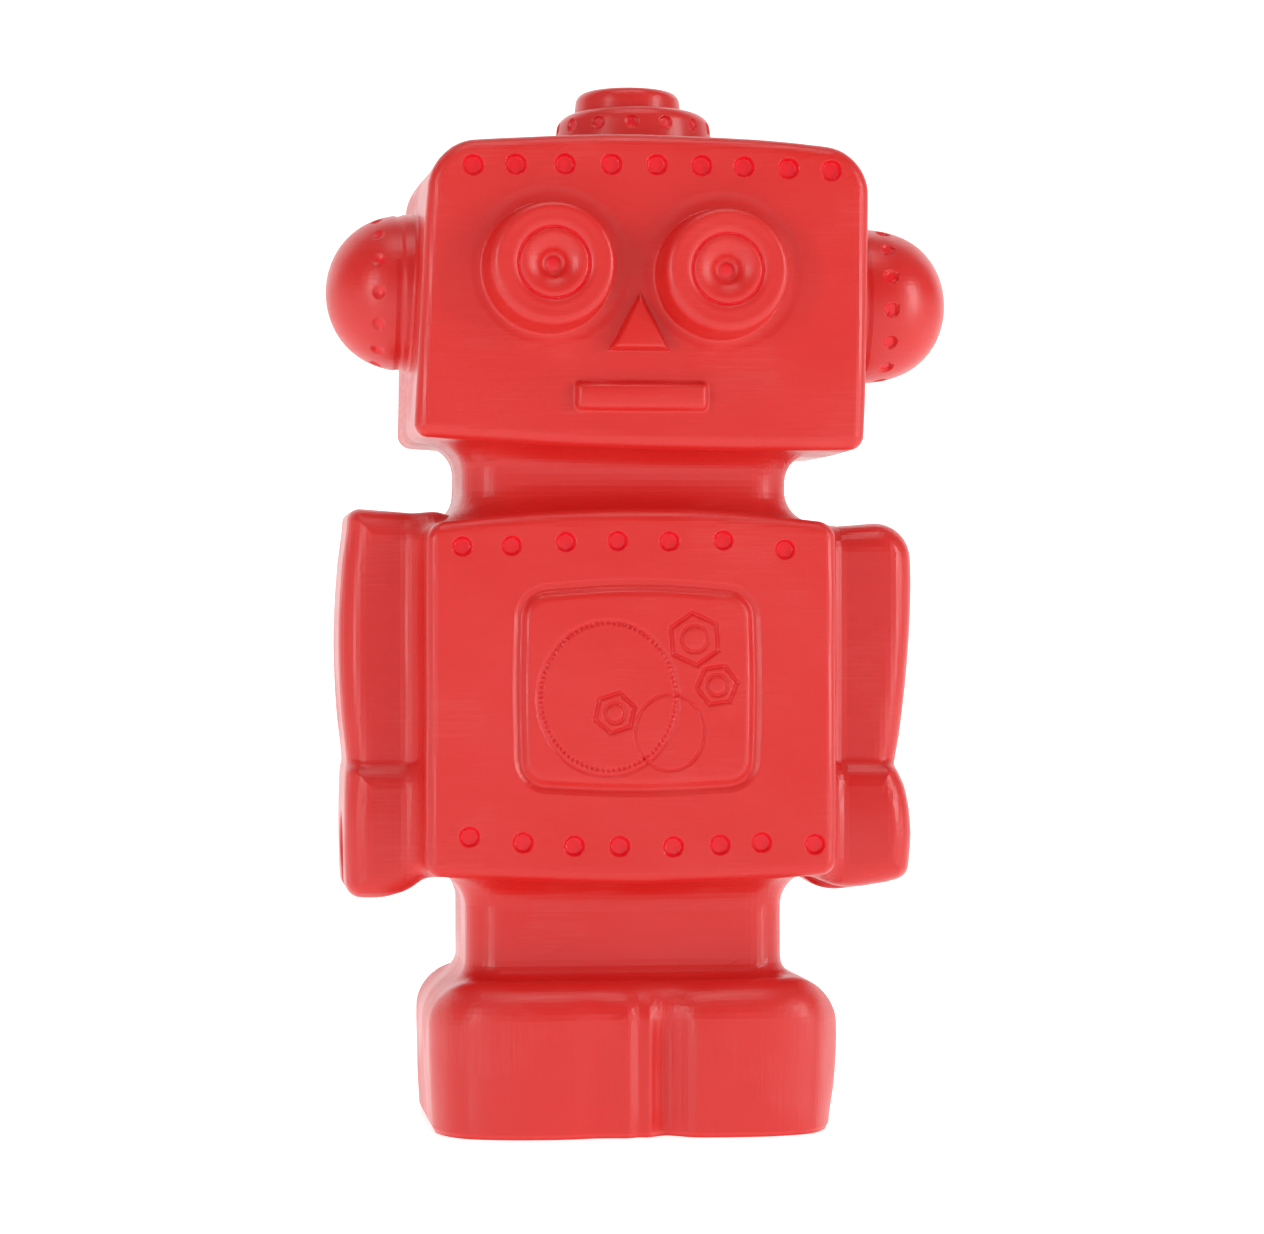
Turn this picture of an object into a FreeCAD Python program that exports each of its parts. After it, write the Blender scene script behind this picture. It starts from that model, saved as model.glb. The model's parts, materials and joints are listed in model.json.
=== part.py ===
import FreeCAD, Part
import math
import os
import re
import Sketcher
from FreeCAD import Placement, Rotation, Vector

# Robot figure with a wind-up musical movement inside.
# Millimetres, +Z up, the face looks along -Y. The origin is on the surface the figure stands on,
# below the middle of the feet and on the parting plane (y = 0) of the two half shells.

SIZES = {
    # half shells
    "wall": 2.5, "lip": 1.3, "lip_deep": 3.0, "lip_gap": 0.2,
    # each block: middle, underside, half widths, height, front, back, corner radii, edge radius
    "torso_mid": 0.5, "torso_low": 71, "torso_wb": 58, "torso_wt": 57.6, "torso_tall": 102.3,
    "torso_front": 43, "torso_back": 40, "torso_rb": 7, "torso_rt": 7, "torso_edge": 5,
    "head_mid": 2.4, "head_low": 195.8, "head_wb": 62.7, "head_wt": 60.6, "head_tall": 84.5,
    "head_front": 43, "head_back": 42, "head_rb": 4, "head_rt": 11, "head_edge": 4,
    "neck_mid": 0.5, "neck_low": 160, "neck_wb": 46, "neck_wt": 46, "neck_tall": 50,
    "neck_front": 30, "neck_back": 28, "neck_rb": 5, "neck_rt": 5, "neck_edge": 6,
    "waist_mid": 0.3, "waist_low": 30, "waist_wb": 45.5, "waist_wt": 45.5, "waist_tall": 56,
    "waist_front": 30, "waist_back": 28, "waist_rb": 5, "waist_rt": 5, "waist_edge": 6,
    "feet_mid": 0.5, "feet_low": -14, "feet_wb": 57, "feet_wt": 57, "feet_tall": 59,
    "feet_front": 48, "feet_back": 40, "feet_rb": 8, "feet_rt": 14, "feet_edge": 9,
    "head_roll": 2.4, "crease_mid": 4, "crease_r": 3,
    # face
    "eye_base_r": 19.2, "eye_rim_r": 16.8, "eye_out": 10, "eye_ring_r": 10.4, "eye_ring_w": 0.9,
    "pupil_r": 5.4, "pupil_deep": 4.5, "eye_up": 243.4, "eye_left": -22.8, "eye_right": 25.9,
    "nose_top": 236, "nose_low": 220.8, "nose_half": 8, "nose_mid": 2, "nose_out": 5,
    "mouth_mid": 2.7, "mouth_up": 207.8, "mouth_long": 37.8, "mouth_tall": 8.5, "mouth_out": 3,
    # chest panel and its emblem
    "panel_mid": 1.6, "panel_low": 96.8, "panel_half": 35.1, "panel_tall": 59.4, "panel_out": 1.4,
    "groove_w": 2.2, "groove_deep": 1.0, "emblem_out": 0.7, "ring_w": 1.0,
    "dot_r": 2.8, "dot_deep": 1.0,
    # ears and head cap
    "ear_r": 22.4, "ear_collar": 12, "ear_dome": 17, "ear_up": 237.6, "ear_in": 61.8, "ear_mid": 6.8,
    "ear_dot_r": 2.0, "spigot_r": 8, "cap_mid": 5.2, "cap_r": 23.1, "cap_step": 292.5,
    "cap_top_r": 15.4, "cap_top": 300, "cap_bevel": 2,
    # arms
    "arm_out_left": 81.0, "arm_out_right": 87.8, "arm_low": 67, "arm_top": 173.5, "arm_cuff": 104,
    "arm_front": 25, "arm_back": 27, "hand_grow": 3, "arm_r": 10, "arm_edge": 8,
    "claw_r": 8.5, "claw_up": 81, "claw_slot": 9, "arm_peg_r": 6, "arm_wall": 4, "arm_peg_up": 150,
    # screws
    "screw_r": 1.3, "hole_slip": 0.2, "screw_head_r": 3.0, "screw_head": 2.0,
    "post_r": 4.8, "front_post_r": 3.6, "screw_seat": 10, "screw_tip": 16,
    "slot_w": 2.2, "slot_tall": 14, "slot_low": 151, "slot_pitch": 6,
    "base_thick": 3, "base_inset": 2.7, "base_post_tall": 12,
    # movement
    "plate": 2, "front_plate": -14, "back_plate": 24, "plate_left": -44, "plate_right": 49,
    "plate_low": 83, "plate_top": 155, "pillar_r": 3, "shaft_gap": 0.05,
    "winder_up": 128, "winder_r": 2.5, "winder_tip_r": 1.5, "train_pivot_r": 0.8,
    "big_module": 0.8, "mid_module": 0.5, "fine_module": 0.4,
    "great_teeth": 60, "drum_teeth": 20, "wheel_teeth": 48, "pinion_teeth": 12,
    "drum_r": 10, "drum_pin_tall": 0.8, "drum_front": -7, "drum_back": 12, "drum_bore": 8.6,
    "arbor_r": 1.2, "ratchet_teeth": 16, "ratchet_r": 9, "ratchet_root": 7.4, "stud_r": 1.2,
    "spring_thick": 0.5, "spring_pitch": 1.5, "spring_turns": 9, "spring_in": 4.2, "spring_wide": 12,
    "comb_teeth": 15, "comb_pitch": 1.1, "comb_thick": 1.0, "comb_tooth": 12, "comb_land": 8,
    "fly_r": 8, "brake_r": 5, "key_half": 19, "key_lobe_r": 9, "key_thick": 2.6, "key_hub_r": 4.6,
    "lever_x": -30, "lever_up": 100, "lever_r": 2, "knob_up": 28, "knob_r": 1.5, "lever_turn": 8,
}

doc = FreeCAD.newDocument("robot")
sheet = doc.addObject("Spreadsheet::Sheet", "dims")
for row, (word, number) in enumerate(SIZES.items(), 1):
    sheet.set(f"A{row}", word)
    sheet.set(f"B{row}", str(number))
    sheet.setAlias(f"B{row}", word)
doc.recompute()

NODES = []


def size(word):
    return float(sheet.get(word))


def linked(text):
    """An expression in which every size word points at its cell."""
    return re.sub(r"[a-z_]+", lambda m: f"dims.{m.group()}" if m.group() in SIZES else m.group(), str(text))


def bind(thing, **properties):
    for name, text in properties.items():
        thing.setExpression(name.replace("__", "."), linked(text))
    return thing


def put(thing, x, y, z):
    return bind(thing, Placement__Base__x=x, Placement__Base__y=y, Placement__Base__z=z)


def node(thing, label):
    """Mark an object as a finished sub-part: its label names its file."""
    thing.Label = label
    NODES.append(thing)
    return thing


def box(name, low, high):
    thing = doc.addObject("Part::Box", name)
    bind(thing, **{side: f"({b}) - ({a})" for side, a, b in zip(("Length", "Width", "Height"), low, high)})
    return put(thing, *low)


TURNS = {
    "+x": Rotation(Vector(0, 1, 0), 90), "-x": Rotation(Vector(0, 1, 0), -90),
    "+y": Rotation(Vector(1, 0, 0), -90), "-y": Rotation(Vector(1, 0, 0), 90),
    "+z": Rotation(), "-z": Rotation(Vector(1, 0, 0), 180),
}


def rod(name, start, way, radius, length, end_radius=None):
    """A cylinder, or a cone when it ends in another radius, that starts at a point and runs one way."""
    kind = "Part::Cylinder" if end_radius is None else "Part::Cone"
    thing = doc.addObject(kind, name)
    thing.Placement.Rotation = TURNS[way]
    if end_radius is None:
        bind(thing, Radius=radius, Height=length)
    else:
        bind(thing, Radius1=radius, Radius2=end_radius, Height=length)
    return put(thing, *start)


def fuse(name, things):
    thing = doc.addObject("Part::MultiFuse", name)
    thing.Shapes = list(things)
    return thing


def common(name, things):
    thing = doc.addObject("Part::MultiCommon", name)
    thing.Shapes = list(things)
    return thing


def cut(name, base, tools):
    thing = doc.addObject("Part::Cut", name)
    thing.Base = base
    thing.Tool = tools[0] if len(tools) == 1 else fuse(name + "_tools", tools)
    return thing


def solid(name, shape, place=Placement()):
    """A piece whose outline no primitive gives, such as a gear."""
    thing = doc.addObject("Part::Feature", name)
    thing.Shape = shape
    thing.Placement = place
    return thing


# ---------------------------------------------------------------- rounded blocks

def block(name, part, inset, roll=0.0):
    """A slab with rounded corners and edges, drawn in the XZ plane and padded from back to front."""
    body = doc.addObject("PartDesign::Body", name)
    outline = body.newObject("Sketcher::SketchObject", name + "_outline")
    outline.AttachmentSupport = [(next(f for f in body.Origin.OriginFeatures if f.Role == "XZ_Plane"), "")]
    outline.MapMode = "FlatFace"
    shrink = size(inset) if inset in SIZES else 0.0
    low_r, top_r = size(part + "_rb") - shrink, size(part + "_rt") - shrink
    low_x, top_x = size(part + "_wb") - shrink - low_r, size(part + "_wt") - shrink - top_r
    low_y, top_y = shrink + low_r, size(part + "_tall") - shrink - top_r
    corners = [(-low_x, low_y, low_r, 180), (low_x, low_y, low_r, 270), (top_x, top_y, top_r, 0),
               (-top_x, top_y, top_r, 90)]
    arcs = []
    for x, y, radius, start in corners:
        circle = Part.Circle(Vector(x, y, 0), Vector(0, 0, 1), radius)
        arcs.append(Part.ArcOfCircle(circle, math.radians(start), math.radians(start + 90)))
    for arc, following in zip(arcs, arcs[1:] + arcs[:1]):
        outline.addGeometry(arc, False)
        outline.addGeometry(Part.LineSegment(arc.EndPoint, following.StartPoint), False)
    for side in range(4):
        arc, line, following = 2 * side, 2 * side + 1, (2 * side + 2) % 8
        outline.addConstraint(Sketcher.Constraint("Tangent", arc, 2, line, 1))
        outline.addConstraint(Sketcher.Constraint("Tangent", line, 2, following, 1))
    for side, (x, y, radius, start) in enumerate(corners):
        level, end = ("low", "b") if side < 2 else ("top", "t")
        arc = 2 * side
        across = (arc, 3, -1, 1) if x < 0 else (-1, 1, arc, 3)
        rounding = f"({part}_r{end} - {inset})"
        rise = f"{inset} + {rounding}" if level == "low" else f"{part}_tall - {inset} - {rounding}"
        for kind, where, value, text in (
                ("DistanceX", across, abs(x), f"{part}_w{end} - {inset} - {rounding}"),
                ("DistanceY", (-1, 1, arc, 3), y, rise), ("Radius", (arc,), radius, rounding)):
            index = outline.addConstraint(Sketcher.Constraint(kind, *where, value))
            outline.renameConstraint(index, f"{kind}{side}")
            outline.setExpression(f"Constraints.{kind}{side}", linked(text))
    pad = body.newObject("PartDesign::Pad", name + "_pad")
    pad.Profile = outline
    bind(pad, Length=f"{part}_front + {part}_back - 2 * {inset}")
    doc.recompute()
    edges = body.newObject("PartDesign::Fillet", name + "_edges")
    flat = [f"Edge{i + 1}" for i, e in enumerate(pad.Shape.Edges) if e.BoundBox.YLength < 1e-6]
    edges.Base = (pad, flat)
    bind(edges, Radius=f"{part}_edge - {inset}")
    body.Placement.Rotation = Rotation(Vector(0, 1, 0), roll)
    return put(body, f"{part}_mid", f"{part}_back - {inset}", f"{part}_low")


BLOCKS = {"head": size("head_roll"), "neck": 0, "torso": 0, "waist": 0, "feet": 0}


def figure(name, inset):
    return fuse(name, [block(f"{name}_{part}", part, inset, roll) for part, roll in BLOCKS.items()])


floor_cut = box("below_floor", (-90, -90, -40), (90, 90, 0))
whole = cut("whole", figure("outer", "0"), [floor_cut])
hollow = figure("inner", "wall")
rebate = figure("middle", "lip")

# ---------------------------------------------------------------- ears, cap and arms

SIDES = {"left": -1, "right": 1}
EAR_DOTS, DOTS_OUT = 14, 12
WAY = {-1: "-x", 1: "+x"}
spigots = []


def ear(side, sign):
    inner = f"{sign} * (ear_in - 10) + ear_mid"
    form = rod(f"ear_{side}_form", (inner, 0, "ear_up"), WAY[sign], "ear_r", "ear_collar + ear_dome + 10")
    doc.recompute()
    rounded = doc.addObject("Part::Fillet", f"ear_{side}_rounded")
    rounded.Base = form
    tip = max(range(len(form.Shape.Edges)), key=lambda i: sign * form.Shape.Edges[i].CenterOfMass.x)
    rounded.Edges = [(tip + 1, size("ear_dome"), size("ear_dome"))]
    dots = []
    for count in range(EAR_DOTS):
        angle = count * 360 / EAR_DOTS
        dot = rod(f"ear_{side}_dot{count}", (0, 0, 0), "+z", "ear_dot_r", 4)
        radius = size("ear_r") - 0.8
        across, up = radius * math.sin(math.radians(angle)), radius * math.cos(math.radians(angle))
        dot.Placement = Placement(
            Vector(sign * (size("ear_in") + DOTS_OUT) + size("ear_mid"), across, size("ear_up") + up),
            Rotation(Vector(1, 0, 0), -angle))
        dots.append(dot)
    seated = cut(f"ear_{side}_seated", rounded, [whole] + dots)
    spigot = rod(f"ear_{side}_spigot", (f"{sign} * (head_wb - 7) + ear_mid - 2.6", 0, "ear_up"), WAY[sign],
                 "spigot_r", 12)
    spigots.append(spigot)
    node(fuse(f"ear_{side}", [seated, spigot]), f"ear_{side}")


for side, sign in SIDES.items():
    ear(side, sign)

cap_low = rod("cap_low", ("cap_mid", 0, 270), "+z", "cap_r", "cap_step - 4 - 270")
cap_slope = rod("cap_slope", ("cap_mid", 0, "cap_step - 4"), "+z", "cap_r", 4, "cap_r - 5")
cap_high = rod("cap_high", ("cap_mid - 1", 0, 285), "+z", "cap_top_r", "cap_top - cap_bevel - 285")
cap_end = rod("cap_end", ("cap_mid - 1", 0, "cap_top - cap_bevel"), "+z", "cap_top_r", "cap_bevel",
              "cap_top_r - cap_bevel")
cap_peg = rod("cap_peg", ("cap_mid", 0, "head_low + head_tall - wall - 2"), "+z", "spigot_r", 8)
spigots.append(cap_peg)
cap_seated = cut("cap_seated", fuse("cap_form", [cap_low, cap_slope, cap_high, cap_end]), [whole])
node(fuse("head_cap", [cap_seated, cap_peg]), "head_cap")

ARM_WORDS = ("mid", "low", "wb", "wt", "tall", "front", "back", "rb", "rt", "edge")


def arm_block(name, sign, out, low, top, grow):
    """The arm is the same kind of rounded slab; its sizes are worked out from the arm's own words."""
    values = (f"{sign} * ({out} + 46) / 2", low, f"({out} - 46) / 2", f"({out} - 46) / 2", f"{top} - {low}",
              f"arm_front + {grow}", f"arm_back + {grow}", "arm_r", "arm_r", "arm_edge")
    for word, text in zip(ARM_WORDS, values):
        cell = len(SIZES) + 1
        alias = f"{name}_{word}"
        SIZES[alias] = 0.0
        sheet.set(f"A{cell}", alias)
        sheet.set(f"B{cell}", "=" + re.sub(r"dims\.", "", linked(text)))
        sheet.setAlias(f"B{cell}", alias)
    doc.recompute()
    return block(name, name, "0")


def arm(side, sign):
    out = f"arm_out_{side}"
    upper = arm_block(f"upper_{side}", sign, f"({out} - 1)", "(arm_cuff - 14)", "arm_top", 0)
    hand = arm_block(f"hand_{side}", sign, out, "arm_low", "(arm_cuff + 3)", "hand_grow")
    far = f"{sign} * 100" if sign > 0 else "-40"
    near = "40" if sign > 0 else "-100"
    hole = rod(f"claw_{side}_hole", (near, 1, "claw_up"), "+x", "claw_r", 60)
    slot = box(f"claw_{side}_slot", (near, "1 - claw_slot / 2", "arm_low - 5"),
               (far, "1 + claw_slot / 2", "claw_up"))
    reach = ("40", f"{out} - 1 - arm_wall") if sign > 0 else (f"arm_wall + 1 - {out}", "-40")
    core = box(f"arm_{side}_core", (reach[0], "arm_wall - arm_front", "arm_cuff - 6"),
               (reach[1], "arm_back - arm_wall", "arm_top - arm_wall"))
    seated = cut(f"arm_{side}_seated", fuse(f"arm_{side}_form", [upper, hand]), [whole, hole, slot, core])
    peg = rod(f"arm_{side}_peg", (f"torso_mid + {sign} * (torso_wb - wall - 3)", 0, "arm_peg_up"), WAY[sign],
              "arm_peg_r", f"{out} - torso_wb + 2")
    spigots.append(peg)
    node(fuse(f"arm_{side}", [seated, peg]), f"arm_{side}")


for side, sign in SIDES.items():
    arm(side, sign)

# ---------------------------------------------------------------- shells

POSTS = [(-43, 262), (53, 260), (-49.5, 161), (50.5, 161), (-49.5, 77.5), (50.5, 77.5), (-44, 22), (44, 22)]
PILLARS = [(-40, 87), (45, 87), (-40, 151), (45, 151)]
BASE_POSTS = [(-26, -41), (26, -41), (-26, 34), (26, 34)]
HEAD_DOTS = (-44.4, -32.0, -18.8, -5.7, 7.0, 19.6, 31.8, 44.2, 56.5)
CHEST_DOTS = (-47.4, -33.7, -18.5, -4.0, 10.5, 25.8, 43.4)
BELLY_DOTS = (-45.6, -30.5, -16.2, -3.4, 11.7, 24.9, 36.8, 52.0)
NUTS = [(17, 140.2, 7.2, 4.0), (23.6, 126.5, 5.5, 3.0), (-5.4, 119, 5.3, 3.0)]
RINGS = [(-7, 123.6, 20.6), (10.5, 113.5, 10.2)]


def posts(name, places, start, way, radius, length):
    return [rod(f"{name}{count}", (x, start, z), way, radius, length) for count, (x, z) in enumerate(places)]


def block_at(z):
    return "feet" if z < 50 else "head" if z > 190 else "torso"


def tube(name, start, way, radius, thickness, length):
    outer = rod(name + "_out", start, way, radius, length)
    return cut(name, outer, [rod(name + "_in", start, way, f"{radius} - {thickness}", length)])


def eye(side):
    place = f"eye_{side}"
    face = "-torso_front"
    form = rod(f"{place}_form", (place, f"{face} + 1", "eye_up"), "-y", "eye_base_r", "eye_out + 1", "eye_rim_r")
    top = f"{face} - eye_out"
    ring = tube(f"{place}_ring", (place, f"{top} - 1", "eye_up"), "+y", "eye_ring_r", "eye_ring_w", 2)
    pupil = rod(f"{place}_pupil", (place, top, "eye_up"), "+y", "pupil_r", "pupil_deep", 2)
    return cut(f"{place}_solid", form, [ring, pupil])


def extruded(name, points, start, length):
    """A flat outline in the XZ plane, given as (x, z) points, extruded towards the front."""
    outline = doc.addObject("Part::Polygon", name + "_outline")
    outline.Nodes = [Vector(x, start, z) for x, z in points]
    outline.Close = True
    thing = doc.addObject("Part::Extrusion", name)
    thing.Base = outline
    thing.Dir = Vector(0, -1, 0)
    thing.DirMode = "Custom"
    thing.Solid = True
    bind(thing, LengthFwd=length)
    return thing


nose_x, nose_half, nose_low = size("nose_mid"), size("nose_half"), size("nose_low")
nose_points = [(nose_x - nose_half, nose_low), (nose_x + nose_half, nose_low), (nose_x, size("nose_top"))]
nose = extruded("nose", nose_points, 1 - size("head_front"), "nose_out + 1")
mouth = box("mouth", ("mouth_mid - mouth_long / 2", "-head_front - mouth_out", "mouth_up - mouth_tall / 2"),
            ("mouth_mid + mouth_long / 2", "1 - head_front", "mouth_up + mouth_tall / 2"))


def panel_box(name, grow, front, back):
    return box(name, (f"panel_mid - panel_half - ({grow})", front, f"panel_low - ({grow})"),
               (f"panel_mid + panel_half + ({grow})", back, f"panel_low + panel_tall + ({grow})"))


panel = panel_box("panel", 0, "-torso_front - panel_out", "1 - torso_front")
groove_out = panel_box("groove_out", "groove_w", "-torso_front - 3", "groove_deep - torso_front")
panel_groove = cut("panel_groove", groove_out, [panel_box("groove_in", 0, "-torso_front - 4", "2 - torso_front")])
face_y = "-torso_front - panel_out"
emblem = [tube(f"emblem_ring{count}", (x, face_y, z), "-y", r, "ring_w", "emblem_out")
          for count, (x, z, r) in enumerate(RINGS)]
for count, (x, z, across, bolt) in enumerate(NUTS):
    nut = doc.addObject("Part::Prism", f"emblem_nut{count}")
    nut.Polygon = 6
    nut.Placement.Rotation = TURNS["-y"]
    bind(nut, Circumradius=across, Height="emblem_out")
    put(nut, x, face_y, z)
    bolt_line = tube(f"emblem_bolt{count}", (x, face_y, z), "-y", bolt, 0.6, 2)
    emblem.append(cut(f"emblem_nut{count}_form", nut, [bolt_line]))

dots = []
for name, row, height in (("head", HEAD_DOTS, 272.4), ("chest", CHEST_DOTS, 166.5), ("belly", BELLY_DOTS, 82.5)):
    for count, x in enumerate(row):
        dots.append(rod(f"{name}_dot{count}", (x, "dot_deep - torso_front", height), "-y", "dot_r", 5))
crease = rod("foot_crease", ("crease_mid", "-feet_front - 1", -1), "+z", "crease_r", 60)

front_half = box("front_half", (-120, -80, -1), (120, 0, 310))
back_half = box("back_half", (-120, 0, -1), (120, 80, 310))
rebate_slab = box("rebate_slab", (-120, "-lip_deep - lip_gap", -1), (120, 1, 310))
front_rebate = common("front_rebate", [rebate, rebate_slab])
front_posts = [rod(f"front_post{i}", (x, f"1 - {block_at(z)}_front", z), "+y", "front_post_r",
                   f"{block_at(z)}_front - 1") for i, (x, z) in enumerate(POSTS)]
pilots = posts("front_pilot", POSTS, 1, "-y", "screw_r", "screw_tip + 3")
front_base_posts = [rod(f"front_base_post{i}", (x, y, "base_thick"), "+z", 5, "base_post_tall")
                    for i, (x, y) in enumerate(BASE_POSTS) if y < 0]
base_holes = [rod(f"base_pilot{i}", (x, y, 1), "+z", "screw_r", "base_post_tall")
              for i, (x, y) in enumerate(BASE_POSTS)]
front_skin = cut("front_skin", common("front_block", [whole, front_half]), [hollow, front_rebate, crease])
front_inside = common("front_inside", [whole, fuse("front_inner_posts", front_posts + front_base_posts)])
front_form = fuse("front_form", [front_skin, front_inside, eye("left"), eye("right"), nose, mouth])
front_sunk = cut("front_sunk", front_form, [panel_groove] + dots)
front_raised = fuse("front_raised", [front_sunk, panel] + emblem)
node(cut("front_shell", front_raised, pilots + base_holes + spigots), "front_shell")

back_posts = [rod(f"back_post{i}", (x, 0, z), "+y", "post_r", f"{block_at(z)}_back - 1")
              for i, (x, z) in enumerate(POSTS)]
movement_bosses = posts("movement_boss", PILLARS, "back_plate + plate", "+y", 4.4,
                        "torso_back - back_plate - plate - 1")
back_base_posts = [rod(f"back_base_post{i}", (x, y, "base_thick"), "+z", 5, "base_post_tall")
                   for i, (x, y) in enumerate(BASE_POSTS) if y > 0]
back_inner_posts = fuse("back_inner_posts", back_posts + movement_bosses + back_base_posts)
back_inside = common("back_inside", [whole, back_inner_posts])
tongue = common("tongue", [rebate, whole, box("tongue_slab", (-120, "-lip_deep", -1), (120, 2, 310))])
back_skin = cut("back_skin", fuse("back_block", [common("back_part", [whole, back_half]), tongue]), [hollow])
tunnels = posts("tunnel", POSTS, "screw_seat", "+y", "screw_head_r + hole_slip", 40)
slips = posts("slip", POSTS, -1, "+y", "screw_r + hole_slip", 20)
movement_tunnels = posts("movement_tunnel", PILLARS, "torso_back - 3", "+y", "screw_head_r + hole_slip", 10)
movement_slips = posts("movement_slip", PILLARS, "back_plate", "+y", "screw_r + hole_slip", 20)
slots = [box(f"sound_slot{i + 4}", (f"{i} * slot_pitch - slot_w / 2", "torso_back - 5", "slot_low"),
             (f"{i} * slot_pitch + slot_w / 2", "torso_back + 5", "slot_low + slot_tall")) for i in range(-4, 5)]
bush_hole = rod("bush_hole", (0, "torso_back - 5", "winder_up"), "+y", 5, 10)
lever_slot = box("lever_slot", ("lever_x - knob_r - 0.8", "torso_back - 5", "lever_up + knob_up - 3"),
                 ("lever_x + knob_up * sin(lever_turn) + knob_r + 0.8", "torso_back + 5", "lever_up + knob_up + 3"))
back_holes = tunnels + slips + movement_tunnels + movement_slips + slots + base_holes[2:] + [bush_hole, lever_slot]
node(cut("rear_shell", fuse("back_form", [back_skin, back_inside]), back_holes + spigots), "rear_shell")

base_slab = common("base_slab", [block("base_outline", "feet", "base_inset"),
                                 box("base_level", (-60, -60, 0), (60, 60, "base_thick"))])
base_slips = [rod(f"base_slip{i}", (x, y, -1), "+z", "screw_r + hole_slip", 8)
              for i, (x, y) in enumerate(BASE_POSTS)]
base_sinks = [rod(f"base_sink{i}", (x, y, -1), "+z", "screw_head_r + hole_slip", 2.6)
              for i, (x, y) in enumerate(BASE_POSTS)]
node(cut("base_plate", base_slab, base_slips + base_sinks), "base_plate")

# ---------------------------------------------------------------- screws


def screw(name, start, way, length, against, head):
    """A flat head and its shank. It starts under the head and runs one way."""
    shank = rod(f"{name}_shank", start, way, "screw_r", length)
    cap = rod(f"{name}_head", start, against, "screw_head_r", head)
    return fuse(f"{name}_form", [shank, cap])


def screws(label, places, way, against, length, head="screw_head"):
    forms = [screw(f"{label}{i}", place, way, length, against, head) for i, place in enumerate(places)]
    node(fuse(label, forms), label)


screws("shell_screws", [(x, "screw_seat", z) for x, z in POSTS], "-y", "+y", "screw_seat + screw_tip")
screws("movement_screws", [(x, "torso_back - 3", z) for x, z in PILLARS], "-y", "+y", "torso_back - 3 - 14")
screws("base_screws", [(x, y, 1.6) for x, y in BASE_POSTS], "+z", "-z", 10, 1.4)

# ---------------------------------------------------------------- gears of the movement


def tooth(teeth, module):
    """One tooth on the +X axis: (radius, angle) points from its left root to its right root."""
    pitch_r = teeth * module / 2
    base_r = pitch_r * math.cos(PRESSURE)
    tip_r, root_r = pitch_r + 0.85 * module, pitch_r - 1.15 * module
    half = math.pi / (2 * teeth) - BACKLASH / (2 * pitch_r) + math.tan(PRESSURE) - PRESSURE
    start_r = max(base_r, root_r)
    flank = []
    for step in range(FLANK_STEPS + 1):
        radius = start_r + (tip_r - start_r) * step / FLANK_STEPS
        roll = math.acos(min(1.0, base_r / radius))
        flank.append((radius, half - math.tan(roll) + roll))
    if root_r < base_r:
        flank.insert(0, (root_r, flank[0][1]))
    return [(r, -a) for r, a in flank] + [(r, a) for r, a in reversed(flank)]


PRESSURE = math.radians(25)
BACKLASH = 0.08
FLANK_STEPS = 3


def polar(radius, angle):
    return Vector(radius * math.cos(angle), 0, radius * math.sin(angle))


def slab(points, thick):
    """A closed outline in the XZ plane about the Y axis, given thickness towards the back."""
    face = Part.Face(Part.makePolygon(points + points[:1]))
    return face.extrude(Vector(0, thick, 0))


def disc(radius, thick, start=0.0):
    return Part.makeCylinder(radius, thick, Vector(0, start, 0), Vector(0, 1, 0))


def gear(teeth_word, module_word, thick, bore, first=0.0, spokes=0):
    """A spur gear about the Y axis whose tooth zero points in the direction `first`."""
    teeth, module = round(size(teeth_word)), size(module_word)
    points = []
    for count in range(teeth):
        centre = first + 2 * math.pi * count / teeth
        points += [polar(r, centre + a) for r, a in tooth(teeth, module)]
    shape = slab(points, thick).cut(disc(bore, thick + 2, -1))
    window_r = teeth * module / 5
    for count in range(spokes):
        hub = polar(teeth * module / 3.6, first + 2 * math.pi * (count + 0.5) / spokes)
        shape = shape.cut(Part.makeCylinder(window_r * 0.62, thick + 2, hub - Vector(0, 1, 0), Vector(0, 1, 0)))
    return shape


def mesh_distance(one, other, module_word):
    return (size(one) + size(other)) * size(module_word) / 2


def facing(direction, teeth_word):
    """The angle of a gear's tooth zero when a gap must point in a direction."""
    return direction + math.pi / size(teeth_word)


# axes of the train, seen from the front: winder, pin drum, third wheel, fly
DRUM_WAY, THIRD_WAY, FLY_WAY = math.radians(-60), math.radians(200), math.radians(190)
WINDER = Vector(0, 0, size("winder_up"))
DRUM = WINDER + polar(mesh_distance("great_teeth", "drum_teeth", "big_module"), DRUM_WAY)
THIRD = DRUM + polar(mesh_distance("wheel_teeth", "pinion_teeth", "mid_module"), THIRD_WAY)
FLY = THIRD + polar(mesh_distance("wheel_teeth", "pinion_teeth", "fine_module"), FLY_WAY)
LEVER = Vector(size("lever_x"), 0, size("lever_up"))
FRONT_IN, BACK_IN = size("front_plate") + size("plate"), size("back_plate")


def at(axis, y=0.0):
    return Placement(axis + Vector(0, y, 0), Rotation())


END_PLAY = 0.4


def arbor():
    """A shaft between the plates with thinner pivots that run in them."""
    thick, pivot_r = size("plate"), size("train_pivot_r")
    start, stop = FRONT_IN + END_PLAY, BACK_IN - END_PLAY
    body = disc(size("arbor_r"), stop - start, start)
    front = disc(pivot_r, END_PLAY + thick, FRONT_IN - thick)
    back = disc(pivot_r, END_PLAY + thick, stop)
    return body.fuse([front, back])


def winding_shaft():
    radius, thick = size("winder_r"), size("plate")
    body = disc(radius, 55 - FRONT_IN - 0.5, FRONT_IN + 0.5)
    return body.fuse(disc(size("winder_tip_r"), thick + 0.5, FRONT_IN - thick)).removeSplitter()


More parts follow.
